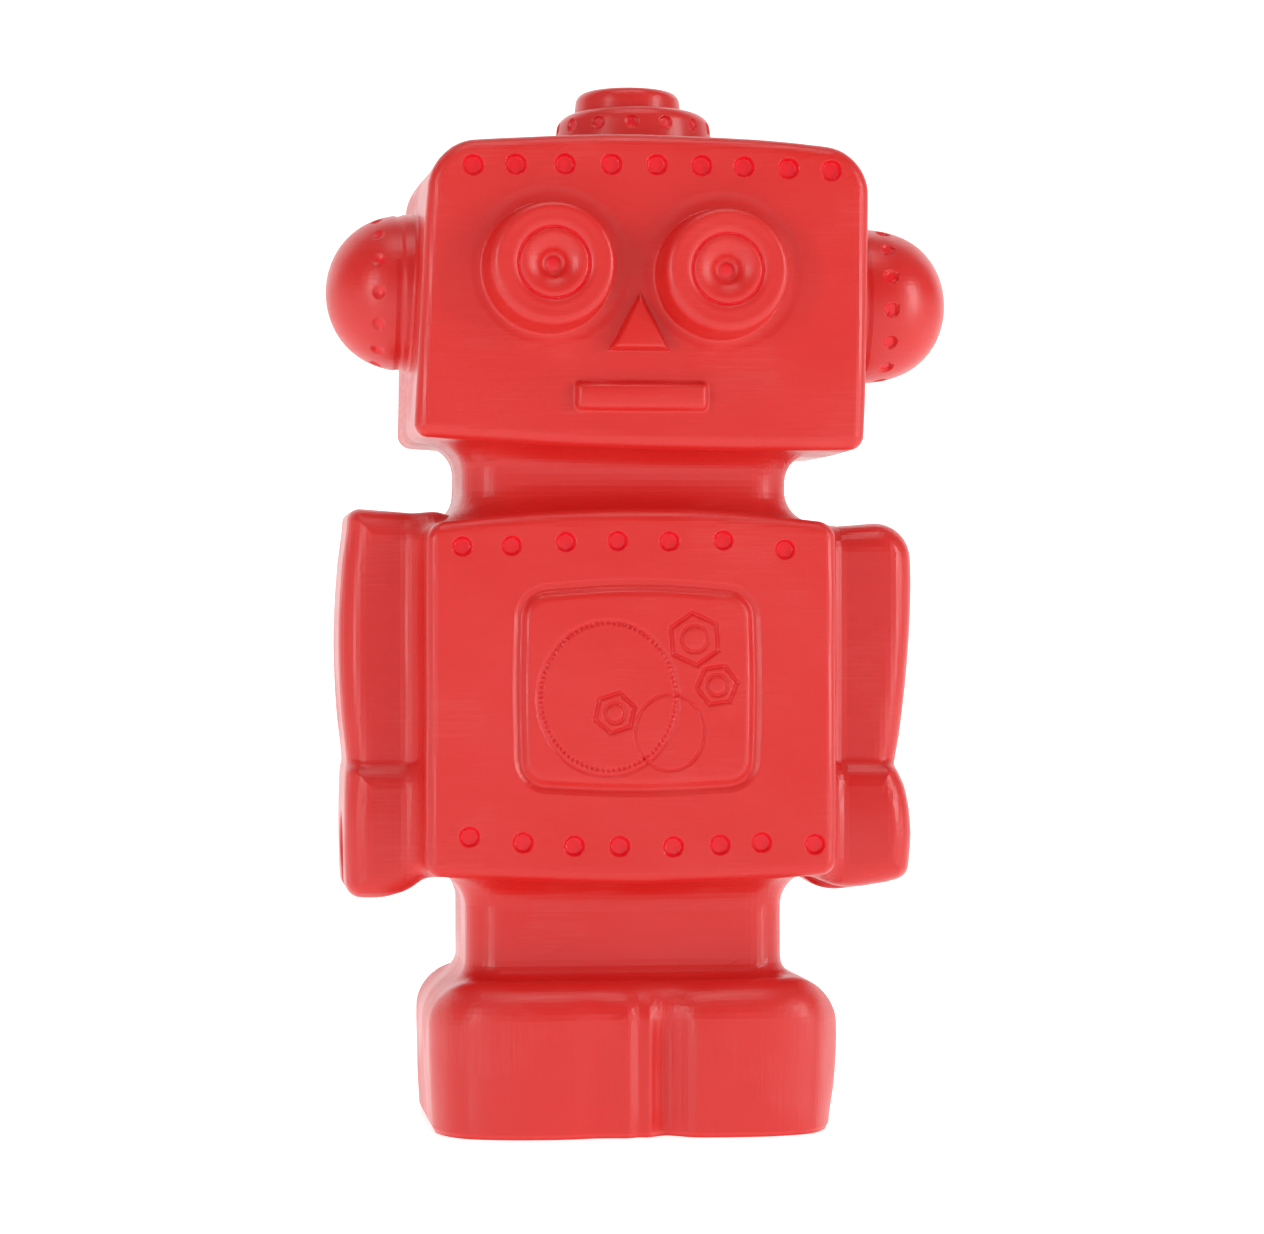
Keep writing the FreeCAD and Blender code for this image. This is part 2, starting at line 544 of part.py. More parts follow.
def winding_key():
    """A hub and a flat two-lobed grip with a hole in each lobe."""
    radius, thick, reach = size("key_lobe_r"), size("key_thick"), size("key_half") - size("key_lobe_r")
    grip = Part.makeBox(2 * reach, 9, thick, Vector(-reach, 54.5, -thick / 2))
    for sign in SIDES.values():
        lobe = Part.makeCylinder(radius, thick, Vector(sign * reach, 59, -thick / 2), Vector(0, 0, 1))
        grip = grip.fuse(lobe)
    hub = disc(size("key_hub_r"), 17, 43.5)
    shape = grip.fuse(hub).removeSplitter()
    for sign in SIDES.values():
        shape = shape.cut(Part.makeCylinder(radius * 0.45, 9, Vector(sign * reach, 59, -4), Vector(0, 0, 1)))
    return shape.cut(disc(size("winder_r"), 11.5, 43.5))


def ratchet():
    """Saw teeth: steep on the side the click pushes, sloping on the other."""
    teeth = round(size("ratchet_teeth"))
    first = CLICK_ANGLE + math.radians(1.2)
    points = []
    for count in range(teeth):
        angle = first + 2 * math.pi * count / teeth
        points += [polar(size("ratchet_root"), angle), polar(size("ratchet_r"), angle)]
    return slab(points, 2).cut(disc(size("winder_r"), 4, -1))


CLICK_PIVOT = 15.0
CLICK_TIP_R = 7.75
CLICK_ANGLE = math.radians(90) + math.acos(8.5 / CLICK_PIVOT)


def click():
    """A pawl that reaches from its pivot along a tangent to the ratchet wheel."""
    reach = math.sqrt(CLICK_PIVOT ** 2 - 8.5 ** 2)
    outline = [(0, CLICK_TIP_R), (3, 8.9), (reach - 2, 8.0), (reach, 7.5), (reach, 10.6), (3, 10.6), (0, 9.4)]
    out, along = polar(1, CLICK_ANGLE), polar(1, CLICK_ANGLE - math.pi / 2)
    arm_shape = slab([out * n + along * s for s, n in outline], 2)
    pivot = out * 8.5 + along * reach
    eye_shape = Part.makeCylinder(2.6, 2, pivot, Vector(0, 1, 0))
    bore = Part.makeCylinder(size("stud_r") + size("shaft_gap"), 4, pivot - Vector(0, 1, 0), Vector(0, 1, 0))
    return arm_shape.fuse(eye_shape).removeSplitter().cut(bore), pivot


def click_spring():
    """A bent leaf on a block that stands on the great wheel, just clear of the lifted click."""
    out, along = polar(1, CLICK_ANGLE), polar(1, CLICK_ANGLE - math.pi / 2)
    line = [(7.5, 12.2), (7.5, 12.6), (13.5, 15.2), (14.6, 15.2), (14.6, 14.8), (13.7, 14.8)]
    leaf = slab([out * n + along * s for s, n in line], 1.6)
    foot = Part.makeCylinder(1.1, 3.8, out * 14.9 + along * 14.6, Vector(0, 1, 0))
    return leaf.fuse(foot).removeSplitter()


def mainspring():
    """A flat spiral strip wound about the winding shaft, its outer end hooked on a post."""
    pitch, turns, thick = size("spring_pitch"), size("spring_turns"), size("spring_thick")
    steps = round(turns * 16)

    def spiral(offset):
        around = [turns * k / steps for k in range(steps + 1)]
        points = [polar(size("spring_in") + offset + pitch * turn, 2 * math.pi * turn + math.pi) for turn in around]
        curve = Part.BSplineCurve()
        curve.interpolate(points)
        return curve.toShape()

    inner, outer = spiral(0), spiral(thick)
    ends = [Part.makeLine(inner.valueAt(inner.ParameterRange[k]), outer.valueAt(outer.ParameterRange[k]))
            for k in (0, 1)]
    wire = Part.Wire(Part.__sortEdges__([inner, ends[1], outer, ends[0]]))
    return Part.Face(wire).extrude(Vector(0, size("spring_wide"), 0))


def pin_drum():
    """A brass drum with rows of fine pins that pluck the comb."""
    start, length = size("drum_front"), size("drum_back") - size("drum_front")
    shape = disc(size("drum_r"), length, start).cut(disc(size("drum_bore"), length, start + 1))
    pins = []
    rows = round(size("comb_teeth"))
    for row in range(rows):
        y = COMB_START + (row + 0.5) * size("comb_pitch")
        for count in range(5):
            angle = math.radians((row * 137 + count * 67) % 320 + 20)
            foot = polar(size("drum_r") - PIN_ROOT, angle) + Vector(0, y, 0)
            pins.append(Part.makeCylinder(PIN_R, size("drum_pin_tall") + PIN_ROOT, foot, polar(1, angle)))
    end = disc(size("drum_r"), 1, start + length - 1)
    return shape.fuse(pins + [end]).cut(disc(size("arbor_r"), length + 2, start - 1))


COMB_START = -5.0
TIP_GAP = 0.12
TOOTH_GAP = 0.25
PIN_R = 0.22
PIN_ROOT = 0.6


def comb():
    """A steel plate cut into teeth whose tips stand just clear of the pins."""
    teeth, pitch, thick = round(size("comb_teeth")), size("comb_pitch"), size("comb_thick")
    tip = DRUM.x + size("drum_r") + size("drum_pin_tall") + TIP_GAP
    base = tip + size("comb_tooth")
    shape = Part.makeBox(size("comb_land"), teeth * pitch, thick, Vector(base, COMB_START, DRUM.z))
    for count in range(teeth):
        corner = Vector(tip, COMB_START + count * pitch + TOOTH_GAP / 2, DRUM.z)
        shape = shape.fuse(Part.makeBox(size("comb_tooth") + 1, pitch - TOOTH_GAP, thick, corner))
    shape = shape.removeSplitter()
    for y in comb_screw_rows():
        shape = shape.cut(Part.makeCylinder(1.2, 4, Vector(base + size("comb_land") / 2, y, DRUM.z - 1)))
    return shape, base


def comb_screw_rows():
    middle = COMB_START + size("comb_teeth") * size("comb_pitch") / 2
    return [middle - 6, middle + 6]


def comb_bracket(base):
    shape = Part.makeBox(size("comb_land"), BACK_IN - FRONT_IN, 6, Vector(base, FRONT_IN, DRUM.z - 6))
    for y in comb_screw_rows():
        shape = shape.cut(Part.makeCylinder(1.0, 7, Vector(base + size("comb_land") / 2, y, DRUM.z - 6.5)))
    for y, way in ((FRONT_IN, 1), (BACK_IN, -1)):
        spot = Vector(base + size("comb_land") / 2, y, DRUM.z - 3)
        shape = shape.cut(Part.makeCylinder(1.0, 5, spot, Vector(0, way, 0)))
    return shape


def comb_screws(base):
    shape = None
    for y in comb_screw_rows():
        spot = Vector(base + size("comb_land") / 2, y, DRUM.z + size("comb_thick"))
        one = Part.makeCylinder(1.9, 1.3, spot).fuse(Part.makeCylinder(1.0, 5, spot, Vector(0, 0, -1)))
        shape = one if shape is None else shape.fuse(one)
    return shape


FLY_LONG = 14
BLADE_THICK = 0.8


def fly_blades():
    """Two flat blades on a hub: they beat the air and hold the speed down."""
    shape = disc(2.2, FLY_LONG)
    for side in (1, -size("fly_r")):
        corner = Vector(side, 0, -BLADE_THICK / 2)
        shape = shape.fuse(Part.makeBox(size("fly_r") - 1, FLY_LONG, BLADE_THICK, corner))
    return shape.removeSplitter().cut(disc(size("arbor_r"), 16, -1))


BRAKE_FRONT = 17


def brake_disc():
    return disc(size("brake_r"), 1.4, BRAKE_FRONT).cut(disc(size("arbor_r"), 4, BRAKE_FRONT - 1))


def stop_lever():
    """A flat lever behind the back plate; a finger reaches through a window to the brake disc."""
    y, thick, reach = LEVER_FRONT, 1.6, size("lever_r") + 2
    shape = Part.makeBox(5, thick, size("knob_up"), Vector(-2.5, y, 0))
    finger = FLY + Vector(0, 0, FINGER_UP) - LEVER
    arm_shape = Part.makeBox(finger.x, thick, 4, Vector(0, y, finger.z - 2))
    end = Vector(finger.x, BRAKE_FRONT, finger.z)
    tip = Part.makeCylinder(1, y + thick - BRAKE_FRONT, end, Vector(0, 1, 0))
    knob_end = Part.makeCylinder(2.5, thick, Vector(0, y, size("knob_up")), Vector(0, 1, 0))
    shape = shape.fuse([disc(reach, thick, y), arm_shape, tip, knob_end]).removeSplitter()
    bore = disc(size("lever_r") + size("shaft_gap"), 4, y - 1)
    pin_hole = Part.makeCylinder(size("knob_r"), 4, Vector(0, y - 1, size("knob_up")), Vector(0, 1, 0))
    return shape.cut([bore, pin_hole])


FINGER_UP = 8.9
LEVER_FRONT = BACK_IN + size("plate") + 1.3


def stop_knob():
    """The pin that stands out through the slot in the back, with a rounded button on its end."""
    pin = disc(size("knob_r"), 43.5 - LEVER_FRONT, LEVER_FRONT)
    button = disc(3, 3, 42.5)
    button = button.makeFillet(1, [e for e in button.Edges if e.Vertexes[0].Point.y > 45 and e.Length > 10])
    return pin.fuse(button).removeSplitter()


def lever_stud():
    y = BACK_IN
    stud = disc(size("lever_r"), 5.3, y)
    return stud.fuse([disc(3.4, 1.2, y + 2), disc(3.4, 0.9, y + 5)]).removeSplitter()


def plate_shape(y, holes):
    corner = Vector(size("plate_left"), y, size("plate_low"))
    shape = Part.makeBox(size("plate_right") - size("plate_left"), size("plate"),
                         size("plate_top") - size("plate_low"), corner)
    for axis, radius in holes:
        shape = shape.cut(Part.makeCylinder(radius, 6, Vector(axis.x, y - 2, axis.z), Vector(0, 1, 0)))
    return shape


run = size("shaft_gap")
comb_shape, comb_base = comb()
bracket_spot = Vector(comb_base + size("comb_land") / 2, 0, DRUM.z - 3)
post_spot = WINDER + Vector(-size("spring_in") - size("spring_pitch") * size("spring_turns") - 2.2, 0, 0)
shared = [(axis, size("train_pivot_r") + run) for axis in (DRUM, THIRD, FLY)] + [(bracket_spot, 1.0)]
screw_holes = [(Vector(x, 0, z), size("screw_r") + 0.05) for x, z in PILLARS]
front_holes = [(WINDER, size("winder_tip_r") + run), (post_spot, 1.0)]
back_holes = [(WINDER, size("winder_r") + run), (LEVER, size("lever_r"))]
front_plate = plate_shape(size("front_plate"), shared + screw_holes + front_holes)
back_plate = plate_shape(BACK_IN, shared + screw_holes + back_holes)
window = Part.makeBox(5, 6, 8, Vector(FLY.x - 2.5, BACK_IN - 2, FLY.z + 3.2))
node(solid("front_plate_form", front_plate), "front_plate")
node(solid("back_plate_form", back_plate.cut(window)), "back_plate")

pillar_shape = None
for x, z in PILLARS:
    one = Part.makeCylinder(size("pillar_r"), BACK_IN - FRONT_IN, Vector(x, FRONT_IN, z), Vector(0, 1, 0))
    one = one.cut(Part.makeCylinder(size("screw_r"), 80, Vector(x, -40, z), Vector(0, 1, 0)))
    pillar_shape = one if pillar_shape is None else pillar_shape.fuse(one)
node(solid("pillar_forms", pillar_shape), "pillars")
screws("plate_screws", [(x, "front_plate", z) for x, z in PILLARS], "+y", "-y", 12, 1.6)
post = disc(1.6, size("spring_wide") + 9, FRONT_IN).fuse(disc(1.0, size("plate"), size("front_plate")))
node(solid("spring_post_form", post.removeSplitter(), at(post_spot)), "spring_post")
node(solid("mainspring_form", mainspring(), at(WINDER, -4)), "mainspring")
node(solid("comb_form", comb_shape), "comb")
node(solid("comb_bracket_form", comb_bracket(comb_base)), "comb_bracket")
node(solid("comb_screw_forms", comb_screws(comb_base)), "comb_screws")
bush = disc(5, 2.5, size("torso_back") - 2.5).fuse(disc(8, 1.2, size("torso_back"))).removeSplitter()
node(solid("key_bush_form", bush.cut(disc(size("winder_r") + run, 10, 35)), at(WINDER)), "key_bush")

node(solid("winding_shaft_form", winding_shaft(), at(WINDER)), "winding_shaft")
node(solid("winding_key_form", winding_key(), at(WINDER)), "winding_key")
great = gear("great_teeth", "big_module", 2, size("winder_r"), DRUM_WAY, 5)
node(solid("ratchet_form", ratchet(), at(WINDER, 13)), "ratchet_wheel")
click_shape, click_pivot = click()
stud = Part.makeCylinder(size("stud_r"), 4.2, click_pivot - Vector(0, 4.2, 0), Vector(0, 1, 0))
node(solid("great_wheel_form", great.fuse(stud).removeSplitter(), at(WINDER, 17)), "great_wheel")
node(solid("click_form", click_shape, at(WINDER, 13)), "click")
node(solid("click_spring_form", click_spring(), at(WINDER, 13.2)), "click_spring")

node(solid("drum_form", pin_drum(), at(DRUM)), "pin_drum")
node(solid("drum_arbor_form", arbor(), at(DRUM)), "drum_arbor")
drum_pinion = gear("drum_teeth", "big_module", 3, size("arbor_r"), facing(DRUM_WAY + math.pi, "drum_teeth"))
node(solid("drum_pinion_form", drum_pinion, at(DRUM, 16.5)), "drum_pinion")
drum_wheel = gear("wheel_teeth", "mid_module", 1.5, size("arbor_r"), THIRD_WAY, 4)
node(solid("drum_wheel_form", drum_wheel, at(DRUM, -10)), "drum_wheel")

third_pinion = gear("pinion_teeth", "mid_module", 3, size("arbor_r"), facing(THIRD_WAY + math.pi, "pinion_teeth"))
node(solid("third_arbor_form", arbor(), at(THIRD)), "third_arbor")
node(solid("third_pinion_form", third_pinion, at(THIRD, -10.8)), "third_pinion")
third_wheel = gear("wheel_teeth", "fine_module", 1.2, size("arbor_r"), FLY_WAY, 4)
node(solid("third_wheel_form", third_wheel, at(THIRD, 21)), "third_wheel")

fly_pinion = gear("pinion_teeth", "fine_module", 2.4, size("arbor_r"), facing(FLY_WAY + math.pi, "pinion_teeth"))
node(solid("fly_arbor_form", arbor(), at(FLY)), "fly_arbor")
node(solid("fly_pinion_form", fly_pinion, at(FLY, 20.6)), "fly_pinion")
node(solid("fly_form", fly_blades(), at(FLY)), "fly")
node(solid("brake_disc_form", brake_disc(), at(FLY)), "brake_disc")

node(solid("stop_lever_form", stop_lever(), at(LEVER)), "stop_lever")
node(solid("stop_knob_form", stop_knob(), at(LEVER + Vector(0, 0, size("knob_up")))), "stop_knob")
node(solid("lever_stud_form", lever_stud(), at(LEVER)), "lever_stud")

# ---------------------------------------------------------------- check and write

doc.recompute()
failed = [thing.Name for thing in doc.Objects if "Invalid" in thing.State or "Error" in thing.State]
failed += [thing.Label for thing in NODES if thing.Shape.isNull() or not thing.Shape.isValid()]
if failed:
    raise RuntimeError(f"these did not build: {failed}")

os.makedirs("parts", exist_ok=True)
for thing in NODES:
    thing.Shape.exportStep(f"parts/{thing.Label}.step")
    solids, volume = len(thing.Shape.Solids), thing.Shape.Volume
    print(f"{thing.Label}: {solids} solid(s), {volume:.0f} mm3")
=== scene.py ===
import json
import math

import bmesh
import bpy
import numpy as np
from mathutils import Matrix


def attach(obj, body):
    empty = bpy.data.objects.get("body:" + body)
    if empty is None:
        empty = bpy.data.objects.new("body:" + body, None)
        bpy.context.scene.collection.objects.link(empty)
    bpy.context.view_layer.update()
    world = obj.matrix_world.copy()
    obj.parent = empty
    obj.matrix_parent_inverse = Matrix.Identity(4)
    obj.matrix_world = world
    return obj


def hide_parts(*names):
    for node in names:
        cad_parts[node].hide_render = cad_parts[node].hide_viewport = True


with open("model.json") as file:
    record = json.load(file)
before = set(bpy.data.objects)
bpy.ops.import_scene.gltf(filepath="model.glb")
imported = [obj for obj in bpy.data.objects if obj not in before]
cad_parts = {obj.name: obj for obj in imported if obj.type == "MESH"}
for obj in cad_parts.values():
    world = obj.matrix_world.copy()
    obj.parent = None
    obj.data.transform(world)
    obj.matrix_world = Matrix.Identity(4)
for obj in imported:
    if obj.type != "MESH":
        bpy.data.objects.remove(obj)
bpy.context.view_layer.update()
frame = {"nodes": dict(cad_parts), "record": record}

import openvdb
from mathutils import Vector

# The figure is drawn as distance fields: functions of x, y, z in millimetres, in the frame of the CAD
# model, negative inside. A field is meshed once, refined where it has fine detail, and every vertex is
# then put exactly on the field's surface.

MM = 0.001
PARTING = 0.0                    # the two shells meet in the plane y = 0
WALL = 2.5


# ---------------------------------------------------------------- field arithmetic

def join(a, b, r):
    """Both solids, with a round fillet of radius r in the inner corner."""
    u, v = np.maximum(r - a, 0), np.maximum(r - b, 0)
    return np.maximum(r, np.minimum(a, b)) - np.hypot(u, v)


def meet(a, b, r):
    """What both solids share, with the outer edge rounded to radius r."""
    u, v = np.maximum(r + a, 0), np.maximum(r + b, 0)
    return np.minimum(-r, np.maximum(a, b)) + np.hypot(u, v)


def carve(a, b, r):
    return meet(a, -b, r)


def curve(t, *knots):
    """A smooth line through (t, value) knots, flat beyond its ends."""
    ts, vs = np.array(knots, dtype=float).T
    slope = np.gradient(vs, ts)
    slope[0] = slope[-1] = 0
    t = np.clip(t, ts[0], ts[-1])
    i = np.clip(np.searchsorted(ts, t, side="right") - 1, 0, len(ts) - 2)
    width = ts[i + 1] - ts[i]
    s = (t - ts[i]) / width
    return ((1 + 2 * s) * (1 - s) ** 2 * vs[i] + s * (1 - s) ** 2 * width * slope[i]
            + s * s * (3 - 2 * s) * vs[i + 1] + s * s * (s - 1) * width * slope[i + 1])


def bell(d, half):
    """A smooth bump of height 1 at d = 0 that is gone at d = half."""
    return np.clip(1 - (d / half) ** 2, 0, None) ** 2


def step(d, half):
    """From 0 below -half to 1 above half."""
    s = np.clip(0.5 + d / (2 * half), 0, 1)
    return s * s * (3 - 2 * s)


def outline(u, w, r):
    """A rounded corner between two distances in one plane."""
    return np.minimum(np.maximum(u, w), -r) + np.hypot(np.maximum(u + r, 0), np.maximum(w + r, 0))


def slab(x, y, z, sides, ends, faces, r_low, r_top, edge):
    """A block with rounded corners (front view) and rounded front and back edges."""
    across = np.maximum(sides[0] - x, x - sides[1])
    up = np.maximum(ends[0] - z, z - ends[1])
    middle = (np.mean(ends[0]) + np.mean(ends[1])) / 2
    front_view = outline(across, up, np.where(z > middle, r_top, r_low))
    return meet(front_view, np.maximum(faces[0] - y, y - faces[1]), edge)


# ---------------------------------------------------------------- the five blocks of the figure

def head_left(z, y=0.0):
    """The left side leans, less so towards the back."""
    return -60.9 + (z - 197.6) * (0.060 - 0.024 * step(y, 45))


def head_right(z):
    return 66.4 + (z - 194.1) * 0.018


def head_block(x, y, z):
    low = 192.9 - 0.026 * (x - 2) + 0.00042 * (x - 2) ** 2
    top = 281.4 - 0.00095 * (x - 3) ** 2
    bow = 0.36 * bell(z - 236, 46)
    return slab(x, y, z, (head_left(z, y) - bow, head_right(z) + bow), (low, top), (-43, 42), 4, 12, 4)


def neck_block(x, y, z):
    return slab(x, y, z, (-46, 47), (160, 212), (-31, 29), 4, 4, 12)


def torso_block(x, y, z):
    low = 70.7 + 0.00075 * (x - 2) ** 2
    top = 176.2 - 0.0012 * (x - 2) ** 2
    return slab(x, y, z, (-57.6, 58.6), (low, top), (-43, 40), 4, 5, 4)


def waist_block(x, y, z):
    return slab(x, y, z, (-45.2, 46.0), (28, 86), (-30, 28), 4, 4, 12)


LEFT_ROUND = ((-58, 13), (-50, 7.2), (-43, 3.6), (-36, 1.4), (-28, 0.3))
RIGHT_ROUND = ((30, 0), (38, 0.5), (45, 2.2), (52, 5.2), (61, 12))
PILLOW = (*LEFT_ROUND, (-20, 0), (-10, 0.8), (9.4, 3), (20, 0.8), *RIGHT_ROUND)
CREASED = (*LEFT_ROUND, (-18, 0.4), (-9.5, 2.0), (-5, 1.7), (-1.5, 1.4), (2, 2.9), (4.6, 2.6), (7, 4.4),
           (10, 6.0), (13, 4.2), (16.5, 1.4), (23, 0.2), *RIGHT_ROUND)


def feet_block(x, y, z):
    """Two feet in one block: full in front, with a deep crease and two soft ribs between them."""
    left = curve(z, (0, -54.9), (14, -55.5), (30, -55.9), (46, -55))
    right = curve(z, (0, 58.6), (14, 60.4), (30, 60.8), (46, 59))
    low_on_foot = step(36 - z, 10)
    front = -48.5 + curve(x, *PILLOW) * (1 - low_on_foot) + curve(x, *CREASED) * low_on_foot
    front += 0.006 * np.maximum(9 - z, 0) ** 2
    return slab(x, y, z, (left, right), (-20, 43.4), (front, 40), 4, 13, 11)


# ---------------------------------------------------------------- face, chest and dots

FACE_Y = -43.0
EYES = ((-22.8, 244.0), (25.9, 242.7))
EYE_R, EYE_LINE, MOAT_R = 17.3, 9.9, 20.6
EYE_TOP = ((0, 6.3), (1.4, 6.2), (2.3, 5.9), (3.1, 6.3), (4.4, 7.8), (6.2, 9.0), (8.8, 9.6), (9.4, 9.4),
           (9.9, 8.9), (10.4, 9.4), (11.2, 9.8), (13.5, 10), (20, 10))


def eye(x, y, z, place):
    r = np.hypot(x - place[0], z - place[1])
    out = FACE_Y - y
    foot = np.clip(10 - out, 0, None)
    wall = np.hypot(x - place[0] + 0.1 * foot, z - place[1] + 0.09 * foot) - EYE_R - 0.09 * foot
    return meet(wall * 0.97, out - curve(r, *EYE_TOP), 2.3)


def moat(x, z):
    """The shallow ring pressed in round each eye."""
    return sum(0.2 * bell(np.hypot(x - a, z - b) - MOAT_R, 2.4) for a, b in EYES)


def polygon(x, z, points):
    """Signed distance to a convex outline whose points run anticlockwise."""
    distance = np.full(x.shape, -1e9)
    for (ax, az), (bx, bz) in zip(points, points[1:] + points[:1]):
        length = math.hypot(bx - ax, bz - az)
        distance = np.maximum(distance, ((x - ax) * (bz - az) - (z - az) * (bx - ax)) / length)
    return distance


NOSE = [(-6.6, 220.4), (10.4, 220.4), (2.3, 236.4)]


def nose(x, y, z):
    out = FACE_Y - y
    wall = (polygon(x, z, NOSE) + 0.16 * out) * 0.98
    return meet(wall, out - curve(z, (220, 4.8), (228, 4.0), (236, 2.6)), 0.9)


MOUTH, MOUTH_HALF = (2.7, 207.6), (18.8, 4.1)


def mouth_outline(x, z):
    return outline(np.abs(x - MOUTH[0]) - MOUTH_HALF[0], np.abs(z - MOUTH[1]) - MOUTH_HALF[1], 1.8)


def mouth(x, y, z):
    out = FACE_Y - y
    wall = (mouth_outline(x, z) + 0.3 * out) * 0.95
    return meet(wall, out - 2.9 + 0.03 * (z - MOUTH[1]) ** 2, 1.2)


PANEL = (1.7, 125.7)


def panel_outline(x, z):
    """The chest panel has bowed edges, like an old television screen."""
    u, w = x - PANEL[0], z - PANEL[1]
    half_u = 31.6 + 0.9 * bell(w, 40)
    half_w = np.where(w > 0, 25.7 + 2.4 * bell(u, 42), 26.0 + 1.6 * bell(u, 42))
    return outline(np.abs(u) - half_u, np.abs(w) - half_w, 6)


def oval(x, z, centre, radii):
    """About the distance to an upright oval."""
    u, w = (x - centre[0]) / radii[0], (z - centre[1]) / radii[1]
    length = np.hypot(u, w) + 1e-9
    return (length - 1) * length / (np.hypot(u / radii[0], w / radii[1]) + 1e-9)


GEAR, GEAR_R, GEAR_NOTCHES = (-6.8, 122.9), (19.8, 21.7), 84
GEAR_IN, GEAR_IN_R = (-6.8, 123.4), (18.9, 20.6)
RING, RING_R = (10.6, 113.3), (9.7, 10.7)
NUTS = ((17.6, 139.5, 7.4, 3.7, 5), (24.0, 126.5, 5.8, 2.9, -22), (-4.9, 118.8, 5.8, 2.8, -12))


def hexagon(x, z, nut):
    cx, cz, radius, _, turn = nut
    corners = [math.radians(90 + turn + 60 * k) for k in range(6)]
    return polygon(x, z, [(cx + radius * math.cos(a), cz + radius * math.sin(a)) for a in corners])


def emblem_lines(x, z):
    """Distances to the lines that are drawn on the panel."""
    lines = [oval(x, z, GEAR, GEAR_R), oval(x, z, RING, RING_R)]
    for nut in NUTS:
        lines.append(hexagon(x, z, nut))
        lines.append(np.hypot(x - nut[0], z - nut[1]) - nut[3])
    return lines


def emblem(x, z):
    """How far the panel's surface is pressed in by the drawing on it."""
    lines = emblem_lines(x, z)
    inner = oval(x, z, GEAR_IN, GEAR_IN_R)
    turn = np.arctan2(z - GEAR_IN[1], x - GEAR_IN[0])
    notch = step(np.cos(turn * GEAR_NOTCHES), 0.7)
    outside_nuts = np.minimum.reduce([lines[2], lines[4], lines[6]])
    depth = 0.45 * bell(lines[0], 0.85) + 0.5 * bell(lines[1], 0.75)
    depth += (0.12 + 0.45 * notch) * bell(inner, 0.8)
    depth *= step(outside_nuts, 0.3)
    for edge, bolt in (lines[2:4], lines[4:6], lines[6:8]):
        depth += 0.75 * bell(edge, 0.95) + 0.6 * bell(bolt, 0.85) - 0.4 * step(-bolt - 0.3, 1.6)
    return depth


def panel_relief(x, z):
    edge = panel_outline(x, z)
    return 0.85 * bell(edge - 0.9, 2.1) - 1.1 * step(-edge - 0.7, 1.9) + emblem(x, z) * (edge < -1)


HEAD_DOTS = [(x, 272.6 - 0.00035 * (x - 3) ** 2, 2.75) for x in
             (-44.6, -32.6, -18.8, -5.7, 7.1, 19.8, 31.8, 44.4, 56.7)]
CHEST_DOTS = [(-47.6, 165.4, 2.6), (-33.8, 165.6, 2.6), (-18.6, 166.7, 2.6), (-4.0, 167.0, 2.6),
              (10.6, 166.9, 2.6), (25.9, 167.2, 2.6), (43.5, 164.7, 2.6)]
BELLY_DOTS = [(-45.6, 84.3, 2.7), (-30.6, 82.6, 2.7), (-16.2, 81.6, 2.7), (-3.4, 81.4, 2.7),
              (11.8, 81.2, 2.7), (25.0, 81.6, 2.7), (36.8, 82.2, 2.7), (52.0, 81.6, 2.7)]
DOTS = HEAD_DOTS + CHEST_DOTS + BELLY_DOTS


def dot_distance(x, z):
    nearest = np.full(x.shape, 1e9)
    for cx, cz, r in DOTS:
        nearest = np.minimum(nearest, np.hypot(x - cx, z - cz) - r)
    return nearest


def front_detail(x, y, z, body):
    """Adds the face and presses in the dots, the panel and the moats round the eyes."""
    near = y < FACE_Y + 6
    x, y, z, detailed = x[near], y[near], z[near], body[near]
    detailed = detailed + 1.6 * step(-dot_distance(x, z) - 0.1, 0.5)
    detailed += np.where(np.abs(z - PANEL[1]) < 40, panel_relief(x, z), moat(x, z))
    for place in EYES:
        detailed = join(detailed, eye(x, y, z, place), 0.8)
    detailed = join(detailed, nose(x, y, z), 0.5)
    body = body.copy()
    body[near] = join(detailed, mouth(x, y, z), 0.6)
    return body


def unevenness(x, y, z):
    """The slow waviness of a form that was modelled by hand."""
    wave = (np.sin(x * 0.061 + 1.3 * np.sin(z * 0.043)) * np.sin(z * 0.071 + y * 0.05 + 0.7)
            + 0.6 * np.sin(x * 0.13 + z * 0.09 + 2.1) * np.sin(z * 0.117 - y * 0.08))
    return 0.16 * wave


def blocks(x, y, z):
    """The five blocks with the fillets between them."""
    body = join(torso_block(x, y, z), neck_block(x, y, z), 8)
    body = join(body, waist_block(x, y, z), 9)
    body = join(body, head_block(x, y, z), 8)
    return join(body, feet_block(x, y, z), 4.5)


def figure(x, y, z):
    """The whole outside of the two shells as one solid."""
    return blocks(x, y, z) + unevenness(x, y, z)


def skin(x, y, z):
    """The outside of both shells, with the fine line pressed in where they meet."""
    body = front_detail(x, y, z, figure(x, y, z))
    foot = 0.8 * bell(z, 1.6)
    return body + 0.1 * bell(y - PARTING, 0.6) + foot


# ---------------------------------------------------------------- ears, cap and arms

def grown_on(part, base, fillet, reach):
    """A piece that stands on the shells: its fillet runs out on their surface and then dips under it."""
    dip = 1.2 * step(part - reach + 0.7, 0.6)
    return np.maximum(np.maximum(join(part, base, fillet) + dip, -base - 2.2), part - reach)


# For each ear: its side, its height, its tip, the angle of the first of its dimples, how full the dome is.
EARS = {"left": (-1, 239.4, 83.9, -4, 2.3), "right": (1, 236.9, 97.5, -7, 2.9)}
EAR_R, EAR_DOTS, EAR_RING, EAR_DOT_R, EAR_DOT_IN = 22.7, 14, 11.0, 1.9, 0.96


